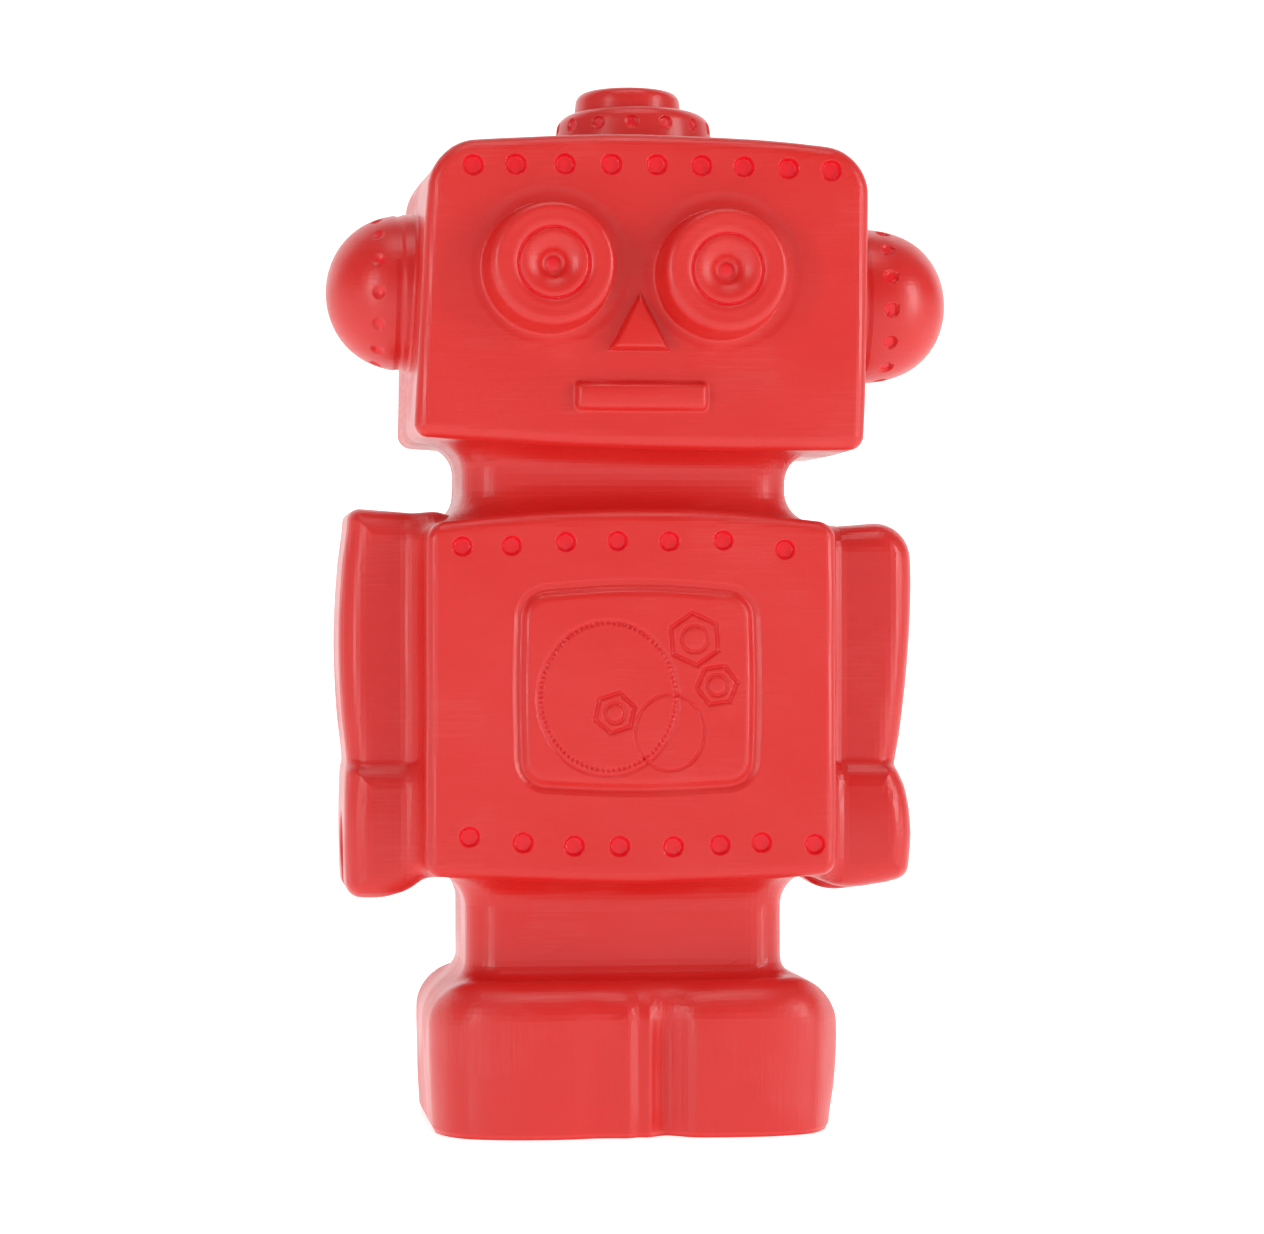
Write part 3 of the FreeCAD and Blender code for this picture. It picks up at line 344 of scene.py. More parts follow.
def ear_start(side):
    """How far from the middle plane the ear grows out of the head."""
    sign, up = EARS[side][:2]
    return abs(head_left(up)) if sign < 0 else head_right(up)


def ear_dots(side, s, y, w):
    """Distances to the middles of an ear's dimples; s runs outward from the head, w up from the axis."""
    first = EARS[side][3]
    for k in range(EAR_DOTS):
        angle = math.radians(first + 360 / EAR_DOTS * k)
        yield np.sqrt((s - EAR_RING) ** 2 + (y + EAR_R * EAR_DOT_IN * math.cos(angle)) ** 2
                      + (w - EAR_R * EAR_DOT_IN * math.sin(angle)) ** 2)


def ear(side, x, y, z):
    """A domed ear about an axis along X, with a ring of dimples."""
    sign, up, tip, _, full = EARS[side]
    start = ear_start(side)
    s, w = sign * x - start, z - up
    r = np.hypot(y, w)
    t = np.clip(s, 0, None) / (tip - start)
    slope = np.hypot(2 * r / EAR_R ** 2, full * t ** (full - 1) / (tip - start))
    body = ((r / EAR_R) ** 2 + t ** full - 1) / np.maximum(slope, 0.02)
    body += 0.35 * bell(s - 4.2, 1.6)
    for off in ear_dots(side, s, y, w):
        body += 0.9 * step(EAR_DOT_R - off, 0.5)
    return body


CAP_LOW, CAP_HIGH = (5.6, 22.8, 292.4), (3.9, 15.3, 298.7)      # middle, radius and top of each tier
CAP_DOTS, CAP_DOT_R, CAP_DOT_IN, CAP_DOT_UP, CAP_DOT_FIRST = 14, 1.7, 22.2, 287.4, 8


def cap(x, y, z):
    """Two round tiers, both tipped back a little; the lower one has dimples round its side."""
    tip_back = 0.06 * (y + 20)
    r = np.hypot(x - CAP_LOW[0], y)
    low = meet(r - CAP_LOW[1] + 0.12 * (z - 284), z - CAP_LOW[2] + tip_back, 3.6)
    wall = np.hypot(x - CAP_HIGH[0], y) - CAP_HIGH[1] + 0.1 * (z - 294)
    high = meet(wall, z - CAP_HIGH[2] + tip_back * 0.5, 2.8)
    for k in range(CAP_DOTS):
        angle = math.radians(CAP_DOT_FIRST + 360 / CAP_DOTS * k)
        u, v = x - CAP_LOW[0] + CAP_DOT_IN * math.sin(angle), y + CAP_DOT_IN * math.cos(angle)
        off = np.sqrt(u ** 2 + v ** 2 + (z - CAP_DOT_UP) ** 2)
        low += 0.7 * step(CAP_DOT_R - off, 0.5)
    return join(low, high, 0.5)


ARMS = {
    "left": {"sign": -1, "top": 176.4, "corner": 4,
             "upper": ((100, 78.4), (120, 80.2), (140, 80.9), (160, 79.9), (174, 78.4)),
             "hand": ((62, 78.6), (74, 79.2), (95, 79.3), (106, 78.8)),
             "low": ((54, 73.8), (60, 68.6), (66, 66.3), (80, 66)), "lift": 0.0},
    "right": {"sign": 1, "top": 172.7, "corner": 10.5,
              "upper": ((100, 80.2), (112, 81.9), (130, 84.0), (160, 85.2), (174, 84.4)),
              "hand": ((68, 83.6), (85, 84.4), (96, 82.9), (106, 79.4)),
              "low": ((54, 70.8), (60, 66.8), (76, 66.5), (82, 67.6)), "lift": 2.2},
}
CLAW_UP, CLAW_R, CLAW_MID, CLAW_SLOT = 80, 8.5, 1, 4.5


def arm(side, x, y, z):
    """A square upper arm and a hand with a hooked claw, open below."""
    form = ARMS[side]
    u = form["sign"] * x
    top = form["top"] + 0.08 * (u - 72)
    upper = slab(u, y, z, (50, curve(z, *form["upper"])), (92, top), (-20.5, 25), 6, form["corner"], 8)
    low = curve(u, *form["low"]) + form["lift"] * step(CLAW_MID - y, 3)
    front = -24 - 0.8 * bell(z - 86, 16)
    hand = slab(u, y, z, (50, curve(z, *form["hand"])), (low, 105 - 0.02 * (u - 62)), (front, 27), 4, 4, 8)
    hole = np.hypot(y - CLAW_MID, z - CLAW_UP) - CLAW_R
    slot = np.maximum(np.abs(y - CLAW_MID) - CLAW_SLOT, z - CLAW_UP)
    claw = join(hole, slot, 1.5)
    return carve(join(upper, hand, 1.4), claw, 2.2)


def head_only(x, y, z):
    return head_block(x, y, z) + unevenness(x, y, z)


def torso_only(x, y, z):
    return torso_block(x, y, z) + unevenness(x, y, z)


# ---------------------------------------------------------------- inside the shells

POSTS = ((-43, 262), (53, 260), (-49.5, 161), (50.5, 161), (-49.5, 77.5), (50.5, 77.5), (-44, 22), (44, 22))
PILLARS = ((-40, 87), (45, 87), (-40, 151), (45, 151))
BASE_POSTS = ((-26, -41), (26, -41), (-26, 34), (26, 34))
SCREW_SEAT, TUNNEL_R, BACK_Y, WINDER_UP = 10, 3.2, 40, 128


def cavity(x, y, z):
    """The hollow inside the shells, around the posts that take the screws."""
    body = blocks(x, y, z) + WALL
    posts = np.full(x.shape, 1e9)
    for px, pz in POSTS:
        posts = np.minimum(posts, np.hypot(x - px, z - pz) - np.where(y > 0, 4.8, 3.6))
    for px, pz in PILLARS:
        posts = np.minimum(posts, np.maximum(np.hypot(x - px, z - pz) - 4.4, 26 - y))
    for px, py in BASE_POSTS:
        posts = np.minimum(posts, np.maximum(np.hypot(x - px, y - py) - 5, np.maximum(3 - z, z - 15)))
    return carve(body, posts, 0.8)


def back_skin(x, y, z):
    """The outside again, with the screw holes sunk in the back."""
    holes = np.full(x.shape, 1e9)
    for px, pz in POSTS:
        holes = np.minimum(holes, np.maximum(np.hypot(x - px, z - pz) - TUNNEL_R, SCREW_SEAT - y))
    for px, pz in PILLARS:
        holes = np.minimum(holes, np.maximum(np.hypot(x - px, z - pz) - TUNNEL_R, BACK_Y - 3 - y))
    ring = np.abs(np.hypot(x, z - WINDER_UP) - 14)
    return carve(skin(x, y, z) + 0.6 * bell(ring, 1.2) * (y > 20), holes, 0.6)


# ---------------------------------------------------------------- meshing

def extract(field, low, high, voxel):
    """The field's surface inside a box, as triangles. They face inward, which is a known fault."""
    axes = [np.arange(a - 2 * voxel, b + 2 * voxel, voxel) for a, b in zip(low, high)]
    points = np.meshgrid(*axes, indexing="ij")
    values = np.clip(field(*points) / voxel, -3, 3).astype(np.float32)
    grid = openvdb.FloatGrid(3.0)
    grid.copyFromArray(values)
    verts, quads = grid.convertToQuads(0.0)
    verts = verts.astype(float) * voxel + np.array([axis[0] for axis in axes])
    quads = quads[:, ::-1]
    return verts, np.vstack([quads[:, [0, 1, 2]], quads[:, [0, 2, 3]]])


STEP = 0.02


def slope_of(field, p, reach):
    slopes = []
    for axis in range(3):
        shift = np.zeros(3)
        shift[axis] = reach
        slopes.append((field(*(p + shift).T) - field(*(p - shift).T)) / (2 * reach))
    return np.stack(slopes, axis=1)


def unit(vectors):
    return vectors / np.maximum(np.linalg.norm(vectors, axis=1), 1e-9)[:, None]


def settle(field, p, rounds=2, reach=3.0):
    """Moves points that are near the field's surface on to it. Gives them and the surface's direction."""
    for _ in range(rounds):
        value = field(*p.T)
        slope = np.stack([(field(*(p + shift).T) - value) / STEP for shift in np.eye(3) * STEP], axis=1)
        move = np.where(np.abs(value) < reach, value, 0) / np.maximum((slope ** 2).sum(axis=1), 0.05)
        p = p - slope * np.clip(move, -0.8, 0.8)[:, None]
    return p, unit(slope)


def edges_of(count, tris):
    """The two ends of every edge, and the numbers of each triangle's three edges."""
    ends = np.sort(np.stack([tris, np.roll(tris, -1, axis=1)], axis=2).reshape(-1, 2), axis=1)
    keys, numbers = np.unique(ends[:, 0] * count + ends[:, 1], return_inverse=True)
    return keys // count, keys % count, numbers.reshape(-1, 3)


def split(count, tris, numbers, halved):
    """Cuts the triangles whose edges are halved. The middles are numbered on from `count`."""
    index = np.full(len(halved), -1)
    index[halved] = count + np.arange(halved.sum())
    mid = index[numbers]
    cuts = (mid >= 0).sum(axis=1)
    turn = np.where(cuts == 1, np.argmax(mid >= 0, axis=1), 0)
    turn = np.where(cuts == 2, np.argmin(mid >= 0, axis=1) + 1, turn)
    order = (np.arange(3) + turn[:, None]) % 3
    (a, b, c), (p, q, r) = np.take_along_axis(tris, order, 1).T, np.take_along_axis(mid, order, 1).T
    parts = [np.stack([a, b, c], 1)[cuts == 0]]
    for number, pattern in ((1, ((a, p, c), (p, b, c))), (2, ((p, b, q), (a, p, q), (a, q, c))),
                            (3, ((a, p, r), (p, b, q), (r, q, c), (p, q, r)))):
        parts += [np.stack(corner, 1)[cuts == number] for corner in pattern]
    return np.vstack(parts)


def plain(x, y, z):
    """The longest edge that is allowed where there is no fine detail."""
    return np.full(x.shape, 4.0)


def refined(field, low, high, voxel, longest=plain, finest=0.7, rounds=4, bend=16):
    """Meshes a field, with short edges where it has detail and where it bends."""
    verts, tris = extract(field, low, high, voxel)
    verts, facing = settle(field, verts, 3)
    for _ in range(rounds):
        a, b, numbers = edges_of(len(verts), tris)
        middle = (verts[a] + verts[b]) / 2
        length = np.linalg.norm(verts[a] - verts[b], axis=1)
        bent = (facing[a] * facing[b]).sum(axis=1) < math.cos(math.radians(bend))
        halved = (length > longest(*middle.T)) | (bent & (length > finest))
        if not halved.any():
            break
        tris = split(len(verts), tris, numbers, halved)
        added, added_facing = settle(field, middle[halved])
        verts, facing = np.vstack([verts, added]), np.vstack([facing, added_facing])
    return verts, tris


def fine_on_front(x, y, z):
    """Short edges along the lines drawn on the front."""
    goal = np.where(np.abs(y - PARTING) < 0.9, 1.2, 4.0)
    front = y < FACE_Y + 3
    goal = np.where(front & (np.abs(dot_distance(x, z) + 0.1) < 0.9), 0.48, goal)
    on_panel = front & (panel_outline(x, z) < 3.2)
    near = np.minimum.reduce([np.abs(line) for line in emblem_lines(x, z)])
    near = np.minimum(near, np.abs(oval(x, z, GEAR_IN, GEAR_IN_R) + 0.2))
    goal = np.where(on_panel, np.clip(0.5 + 1.0 * np.clip(near - 0.7, 0, 2), 0.5, 1.8), goal)
    for place in EYES:
        r = np.hypot(x - place[0], z - place[1])
        goal = np.where(front & (r < 23), np.where(np.abs(r - EYE_LINE) < 1.0, 0.48, 1.0), goal)
    on_nose = front & (polygon(x, z, NOSE) < 3)
    on_mouth = front & (np.abs(mouth_outline(x, z) + 1) < 3.5)
    return np.where(on_nose | on_mouth, 0.7, goal)


def build(name, verts, faces):
    mesh = bpy.data.meshes.new(name)
    mesh.from_pydata(verts * MM, [], faces if isinstance(faces, list) else faces.tolist())
    thing = bpy.data.objects.new(name, mesh)
    bpy.context.scene.collection.objects.link(thing)
    return thing


def vertices_of(mesh):
    points = np.empty(len(mesh.vertices) * 3)
    mesh.vertices.foreach_get("co", points)
    return points.reshape(-1, 3) / MM


def shade(thing, *fields):
    """Shades a piece with its fields' own slope wherever a face lies on one, and flat elsewhere. It takes
    only faces that point outward, so nearly all that comes from extract() stays flat."""
    mesh = thing.data
    mesh.shade_smooth()
    points = vertices_of(mesh)
    corner = np.empty(len(mesh.loops), dtype=np.int64)
    mesh.loops.foreach_get("vertex_index", corner)
    face = np.empty(len(mesh.polygons) * 3)
    mesh.polygons.foreach_get("normal", face)
    sides = np.empty(len(mesh.polygons), dtype=np.int64)
    mesh.polygons.foreach_get("loop_total", sides)
    face = np.repeat(face.reshape(-1, 3), sides, axis=0)
    normals = face.copy()
    for field in fields:
        slope = unit(slope_of(field, points, 0.04))[corner]
        near = (np.abs(field(*points.T)) < 0.25)[corner]
        lies = near & ((slope * face).sum(axis=1) > 0.6)
        normals[lies] = slope[lies]
    mesh.normals_split_custom_set(normals.tolist())


def store_painted_shade(thing, depth):
    """Stores how much painted shade, 0 to 1, each vertex gets: deeper red where shade falls in recesses."""
    points = vertices_of(thing.data)
    layer = thing.data.attributes.new("painted_recess_shade", "FLOAT", "POINT")
    layer.data.foreach_set("value", np.clip(depth(*points.T), 0, 1).astype(np.float32))


# No painted shade: the piece keeps its plain colour.
def no_painted_shade(x, y, z):
    return np.zeros(x.shape)


# Painted shade: deeper red for the dots, the panel's pressed lines, the eyes' grooves and pupils.
def front_painted_shade(x, y, z):
    on_front = (y < FACE_Y + 3) & (y > FACE_Y - 2)
    dots = step(-dot_distance(x, z) + 0.15, 0.35)
    lines = np.where(panel_outline(x, z) < -1, emblem(x, z), 0)
    rings = [np.hypot(x - a, z - b) for a, b in EYES]
    eye_lines = sum(0.8 * bell(r - EYE_LINE, 0.7) + 0.9 * bell(r, 3.8) for r in rings)
    return np.where(on_front, np.maximum(dots, 0.45 * lines), np.where(y < FACE_Y, eye_lines, 0))


def outside(field, finish, slot, body, name, low, high, voxel, replaced, depth=no_painted_shade, finest=0.7):
    """A closed piece made from one field."""
    thing = build(name, *refined(field, low, high, voxel, finest=finest))
    piece(thing, finish, slot, body, replaced, field, depth=depth)


def piece(thing, finish, slot, body, replaced, *fields, depth=no_painted_shade):
    if fields:
        shade(thing, *fields)
    # Stores the painted shade that depth gives, for the material to use.
    store_painted_shade(thing, depth)
    thing.data.materials.clear()
    thing.data.materials.append(finish)
    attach(thing, body)
    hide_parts(*replaced)


# ---------------------------------------------------------------- materials

def tree_of(name):
    finish = bpy.data.materials.new(name)
    finish.use_nodes = True
    return finish, finish.node_tree, finish.node_tree.nodes["Principled BSDF"]


def add(tree, kind, links=(), **settings):
    """A shader node. `links` gives (socket, source) pairs; settings are properties or sockets' values."""
    new = tree.nodes.new("ShaderNode" + kind)
    for key, value in settings.items():
        if hasattr(new, key):
            setattr(new, key, value)
        else:
            new.inputs[key.replace("_", " ")].default_value = value
    for socket, source in links:
        tree.links.new(source, new.inputs[socket])
    return new


def placed(tree, scale):
    """Object coordinates, stretched: the scale is in repeats for each metre."""
    where = add(tree, "TexCoord")
    return add(tree, "Mapping", [("Vector", where.outputs["Object"])], Scale=scale).outputs["Vector"]


def grain(tree, scale, detail=3.0, rough=0.5):
    return add(tree, "TexNoise", [("Vector", placed(tree, scale))], Scale=1.0, Detail=detail,
               Roughness=rough).outputs["Fac"]


def ramp(tree, source, low, high, out_low, out_high):
    links = [("Value", source)]
    sizes = {"From Min": low, "From Max": high, "To Min": out_low, "To Max": out_high}
    new = add(tree, "MapRange", links)
    for key, value in sizes.items():
        new.inputs[key].default_value = value
    return new.outputs["Result"]


def mixed(tree, amount, first, second, blend="MIX"):
    """A colour mix; either colour may be a plain colour or another node's output."""
    new = tree.nodes.new("ShaderNodeMix")
    new.data_type, new.blend_type = "RGBA", blend
    for index, colour in ((6, first), (7, second)):
        if isinstance(colour, tuple):
            new.inputs[index].default_value = (*colour, 1)
        else:
            tree.links.new(colour, new.inputs[index])
    if isinstance(amount, float):
        new.inputs[0].default_value = amount
    else:
        tree.links.new(amount, new.inputs[0])
    return new.outputs[2]


def bumps(tree, shader, *layers):
    """Stacks bump layers: (height, strength, distance in metres)."""
    normal = None
    for height, strength, distance in layers:
        links = [("Height", height)] + ([("Normal", normal)] if normal else [])
        normal = add(tree, "Bump", links, Strength=strength, Distance=distance).outputs["Normal"]
    tree.links.new(normal, shader.inputs["Normal"])


def satin_vinyl(name, colour, deep, pale, streak=1.0):
    """Moulded vinyl under a brushed satin coat, with strokes across the figure and up its feet."""
    finish, tree, shader = tree_of(name)
    where = add(tree, "TexCoord")
    height = add(tree, "SeparateXYZ", [("Vector", where.outputs["Object"])]).outputs["Z"]
    on_feet = ramp(tree, height, 0.026, 0.050, 1.0, 0.0)
    across, upright = grain(tree, (60, 60, 1300), 4.0, 0.62), grain(tree, (1100, 1100, 70), 4.0, 0.62)
    streaks = add(tree, "Mix", [(0, on_feet), (2, across), (3, upright)]).outputs[0]
    patches = ramp(tree, grain(tree, (32, 32, 32), 2.0), 0.42, 0.62, 0.1, 1.0)
    strokes = add(tree, "Math", [(0, streaks), (1, patches)], operation="MULTIPLY").outputs[0]
    broad = grain(tree, (60, 60, 110), 2.0)
    skin_marks = grain(tree, (420, 420, 420), 3.0, 0.6)
    cloud = grain(tree, (16, 16, 16), 3.0)
    pits = add(tree, "TexVoronoi", [("Vector", placed(tree, (520, 520, 520)))], Scale=1.0, Randomness=1.0)
    rare = ramp(tree, grain(tree, (90, 90, 90), 1.0), 0.60, 0.70, 0.0, 1.0)
    pit = ramp(tree, pits.outputs["Distance"], 0.0, 0.30, 1.0, 0.0)
    pit = add(tree, "Math", [(0, pit), (1, rare)], operation="MULTIPLY").outputs[0]
    painted_recess_shade = add(tree, "Attribute", attribute_name="painted_recess_shade").outputs["Fac"]
    colour = mixed(tree, ramp(tree, cloud, 0.3, 0.7, 0.0, 0.35), colour, pale)
    colour = mixed(tree, ramp(tree, strokes, 0.40, 0.68, 0.0, 0.55 * streak), colour, pale)
    # Painted shade: the stored amount mixes in the deeper red where shade falls in recesses.
    colour = mixed(tree, painted_recess_shade, colour, deep)
    # The small pits are tinted half way to the same deeper red.
    colour = mixed(tree, ramp(tree, pit, 0.0, 1.0, 0.0, 0.5), colour, deep)
    tree.links.new(colour, shader.inputs["Base Color"])
    tree.links.new(ramp(tree, strokes, 0.1, 0.6, 0.30, 0.44), shader.inputs["Roughness"])
    shader.inputs["Specular IOR Level"].default_value = 0.42
    shader.inputs["Coat Weight"].default_value = 0.15
    shader.inputs["Coat Roughness"].default_value = 0.28
    shader.inputs["Subsurface Weight"].default_value = 0.06
    shader.inputs["Subsurface Radius"].default_value = (0.004, 0.0012, 0.0008)
    bumps(tree, shader, (broad, 0.3 * streak, 0.0006), (strokes, 0.55 * streak, 0.00016),
          (skin_marks, 0.35 * streak, 0.00012), (pit, -0.6, 0.0003))
    return finish


def metal(name, colour, second, low, high, scale, bump=0.12):
    """Metal whose machining marks run one way; the scale gives their direction."""
    finish, tree, shader = tree_of(name)
    lines = grain(tree, scale, 3.0, 0.6)
    cloud = grain(tree, (70, 70, 70), 2.0)
    clouded = mixed(tree, ramp(tree, cloud, 0.35, 0.7, 0.0, 1.0), colour, second)
    tree.links.new(clouded, shader.inputs["Base Color"])
    tree.links.new(ramp(tree, lines, 0.3, 0.7, low, high), shader.inputs["Roughness"])
    shader.inputs["Metallic"].default_value = 1.0
    bumps(tree, shader, (lines, bump, 0.00006))
    return finish


def black_plastic(name):
    finish, tree, shader = tree_of(name)
    specks = grain(tree, (2600, 2600, 2600), 2.0)
    black, grey = (0.018, 0.018, 0.019), (0.03, 0.03, 0.032)
    tree.links.new(mixed(tree, ramp(tree, specks, 0.3, 0.7, 0.0, 1.0), black, grey),
                   shader.inputs["Base Color"])
    tree.links.new(ramp(tree, specks, 0.3, 0.7, 0.45, 0.6), shader.inputs["Roughness"])
    bumps(tree, shader, (specks, 0.2, 0.00005))
    return finish


# Colour, then the deeper red for painted shade and pits, then a paler red for tone and strokes.
RED = satin_vinyl("red_vinyl", (0.64, 0.014, 0.011), (0.80, 0.001, 0.012), (0.67, 0.042, 0.037))
DARK_RED = satin_vinyl("dark_red_plastic", (0.36, 0.016, 0.014), (0.3, 0.01, 0.01), (0.40, 0.025, 0.02), 0.3)
FINISHES = {
    "shell": RED,
    "base": DARK_RED,
    "screw_steel": metal("zinc_plate", (0.62, 0.62, 0.64), (0.70, 0.68, 0.62), 0.28, 0.42, (900, 900, 900)),
    "plate_brass": metal("rolled_brass", (0.80, 0.60, 0.26), (0.72, 0.52, 0.22), 0.24, 0.40,
                         (60, 2000, 2000)),
    "bright_steel": metal("turned_steel", (0.66, 0.67, 0.69), (0.58, 0.59, 0.62), 0.18, 0.34,
                          (300, 3000, 300)),
    "spring_steel": metal("blued_steel", (0.22, 0.26, 0.36), (0.30, 0.30, 0.34), 0.22, 0.36,
                          (200, 2400, 200)),
    "cast_bracket": metal("die_cast", (0.58, 0.58, 0.59), (0.50, 0.50, 0.52), 0.42, 0.58,
                          (1500, 1500, 1500), 0.3),
    "key_metal": metal("nickel_plate", (0.78, 0.74, 0.69), (0.72, 0.68, 0.62), 0.16, 0.28,
                       (1200, 120, 120)),
    "fly_plastic": black_plastic("black_plastic"),
    "knob_metal": metal("nickel_knob", (0.78, 0.74, 0.69), (0.72, 0.68, 0.62), 0.16, 0.28,
                        (1200, 120, 1200)),
}


# ---------------------------------------------------------------- the shells

def block_cutter(name, low, high):
    """A plain box, only used to cut with."""
    corners = [(x, y, z) for x in (low[0], high[0]) for y in (low[1], high[1]) for z in (low[2], high[2])]
    faces = [(0, 1, 3, 2), (4, 6, 7, 5), (0, 4, 5, 1), (2, 3, 7, 6), (0, 2, 6, 4), (1, 5, 7, 3)]
    return build(name, np.array(corners, dtype=float), faces)


def cut(thing, way, cutter):
    """Applies one boolean to a piece and takes the cutter away."""
    change = thing.modifiers.new("cut", "BOOLEAN")
    change.operation, change.solver, change.object = way, "MANIFOLD", cutter
    bpy.context.view_layer.objects.active = thing
    bpy.ops.object.modifier_apply(modifier=change.name)
    bpy.data.objects.remove(cutter)


def half_shell(name, field, side):
    """One half shell, from its outside and its inside, cut at the parting plane and at the underside. Both
    meshes face inward, so the booleans leave the half closed at the parting plane: a known fault."""
    low, high = ((-62, -56, -5), (72, 3, 285)) if side < 0 else ((-62, -3, -5), (72, 44, 285))
    thing = build(name, *refined(field, low, high, 1.7, fine_on_front, 0.55))
    inner_low, inner_high = (low[0], low[1] - 4 * (side > 0), -9), (high[0], high[1] + 4 * (side < 0), 285)
    inner, tris = extract(cavity, inner_low, inner_high, 2.8)
    cut(thing, "DIFFERENCE", build(name + "_hollow", settle(cavity, inner)[0], tris))
    ends = (-80, PARTING) if side < 0 else (PARTING, 80)
    cut(thing, "INTERSECT", block_cutter(name + "_half", (-90, ends[0], 0), (90, ends[1], 320)))
    return thing


SLOT_LOW, SLOT_TALL, SLOT_PITCH, SLOT_HALF = 151, 14, 6, 1.1
LEVER_X, LEVER_UP, KNOB_UP, KNOB_R, LEVER_TURN = -30, 100, 28, 1.5, 8


def sound_slots():
    return [((k * SLOT_PITCH - SLOT_HALF, BACK_Y - 6, SLOT_LOW),
             (k * SLOT_PITCH + SLOT_HALF, BACK_Y + 6, SLOT_LOW + SLOT_TALL)) for k in range(-4, 5)]


def lever_slot():
    travel = KNOB_UP * math.sin(math.radians(LEVER_TURN))
    middle = LEVER_UP + KNOB_UP
    left, right = LEVER_X - KNOB_R - 0.8, LEVER_X + travel + KNOB_R + 0.8
    return (left, BACK_Y - 6, middle - 3), (right, BACK_Y + 6, middle + 3)


def inside_out(x, y, z):
    return -cavity(x, y, z)


front = half_shell("front_shell_form", skin, -1)
piece(front, RED, "shell", "casing", ["front_shell"], skin, inside_out, depth=front_painted_shade)
rear = half_shell("rear_shell_form", back_skin, 1)
for corners in sound_slots() + [lever_slot()]:
    cut(rear, "DIFFERENCE", block_cutter("opening", *corners))
piece(rear, RED, "shell", "casing", ["rear_shell"], back_skin, inside_out)


# ---------------------------------------------------------------- ears, cap and arms on the shells

# Painted shade: deeper red in the dimples round an ear.
def ear_painted_shade(side):
    sign, up = EARS[side][:2]

    def depth(x, y, z):
        nearest = np.minimum.reduce(list(ear_dots(side, sign * x - ear_start(side), y, z - up)))
        return 0.8 * step(EAR_DOT_R - nearest, 0.5)
    return depth


# Painted shade: deeper red in the dimples round the cap.
def cap_painted_shade(x, y, z):
    angle = np.arctan2(-(x - CAP_LOW[0]), -y) - math.radians(CAP_DOT_FIRST)
    pitch = 2 * math.pi / CAP_DOTS
    around = (angle + pitch / 2) % pitch - pitch / 2
    off = np.hypot(around * CAP_LOW[1], z - CAP_DOT_UP)
    on_side = np.hypot(x - CAP_LOW[0], y) > CAP_HIGH[1] + 3
    return np.where(on_side, 0.8 * step(CAP_DOT_R - off, 0.5), 0)


for side, (sign, up, tip, _, _) in EARS.items():
    def form(x, y, z, side=side):
        return grown_on(ear(side, x, y, z), head_only(x, y, z), 1.2, 2.6)
    ends = sorted((sign * 50, sign * (tip + 1)))
    outside(form, RED, "shell", "casing", f"ear_{side}_form", (ends[0], -26, up - 26),
            (ends[1], 26, up + 26), 1.3, [f"ear_{side}"], ear_painted_shade(side), 0.6)


def cap_form(x, y, z):
    return grown_on(cap(x, y, z), head_only(x, y, z), 0.7, 2.1)


outside(cap_form, RED, "shell", "casing", "head_cap_form", (-22, -27, 276), (33, 27, 301), 1.1, ["head_cap"],
        cap_painted_shade, 0.5)

for side, form_of in ARMS.items():
    def form(x, y, z, side=side):
        return grown_on(arm(side, x, y, z), torso_only(x, y, z), 7, 8.4)
    ends = sorted((form_of["sign"] * 50, form_of["sign"] * 90))
    outside(form, RED, "shell", "casing", f"arm_{side}_form", (ends[0], -34, 58), (ends[1], 37, 182), 1.6,
            [f"arm_{side}"])


def base_form(x, y, z):
    """The plate that closes the underside, with sunk screw holes."""
    plate = meet(feet_block(x, y, z) + WALL + 0.2, np.abs(z - 1.5) - 1.5, 0.4)
    sinks = np.full(x.shape, 1e9)
    for px, py in BASE_POSTS:
        sinks = np.minimum(sinks, np.maximum(np.hypot(x - px, y - py) - TUNNEL_R, z - 1.6))
    return carve(plate, sinks, 0.3)


outside(base_form, DARK_RED, "base", "casing", "base_plate_form", (-58, -49, -1), (62, 41, 4), 1.0,
        ["base_plate"])


# ---------------------------------------------------------------- turned pieces: screws, bush and knob

WAYS = {"+y": ((1, 0, 0), (0, 0, 1), (0, 1, 0)), "-z": ((1, 0, 0), (0, 1, 0), (0, 0, -1))}


def turned(name, profile, segments, way, places, recess=0.0):
    """Turns a (radius, height) profile about an axis, once for each place. A cross recess may be pressed
    in the top of it."""
    rings = []
    for radius, height in profile:
        angles = 2 * np.pi * np.arange(segments) / segments
        u, v, w = radius * np.cos(angles), radius * np.sin(angles), np.full(segments, float(height))
        if recess:
            cross = step(0.42 - np.minimum(np.abs(u), np.abs(v)), 0.16) * step(2.0 - np.hypot(u, v), 0.3)
            w -= recess * cross * (height > 0.2)
        rings.append(np.stack([u, v, w], 1))
    turned_points = np.vstack(rings) @ np.array(WAYS[way])
    faces = []
    for ring in range(len(profile) - 1):
        for k in range(segments):
            a, b = ring * segments + k, ring * segments + (k + 1) % segments
            faces.append((a, b, b + segments, a + segments))
    last = (len(profile) - 1) * segments
    faces += [tuple(range(segments))[::-1], tuple(range(last, last + segments))]
    count = len(turned_points)
    verts = np.vstack([turned_points + place for place in places])
    every = [tuple(v + number * count for v in f) for number in range(len(places)) for f in faces]
    mesh = bpy.data.meshes.new(name)
    mesh.from_pydata((verts * MM).tolist(), [], every)
    bm = bmesh.new()
    bm.from_mesh(mesh)
    bmesh.ops.recalc_face_normals(bm, faces=bm.faces)
    bm.to_mesh(mesh)
    bm.free()
    mesh.shade_smooth()
    mesh.set_sharp_from_angle(angle=math.radians(38))
    thing = bpy.data.objects.new(name, mesh)
    bpy.context.scene.collection.objects.link(thing)
    return thing


HEAD_R, HEAD_TALL, SHANK_R = 3.0, 2.0, 1.3


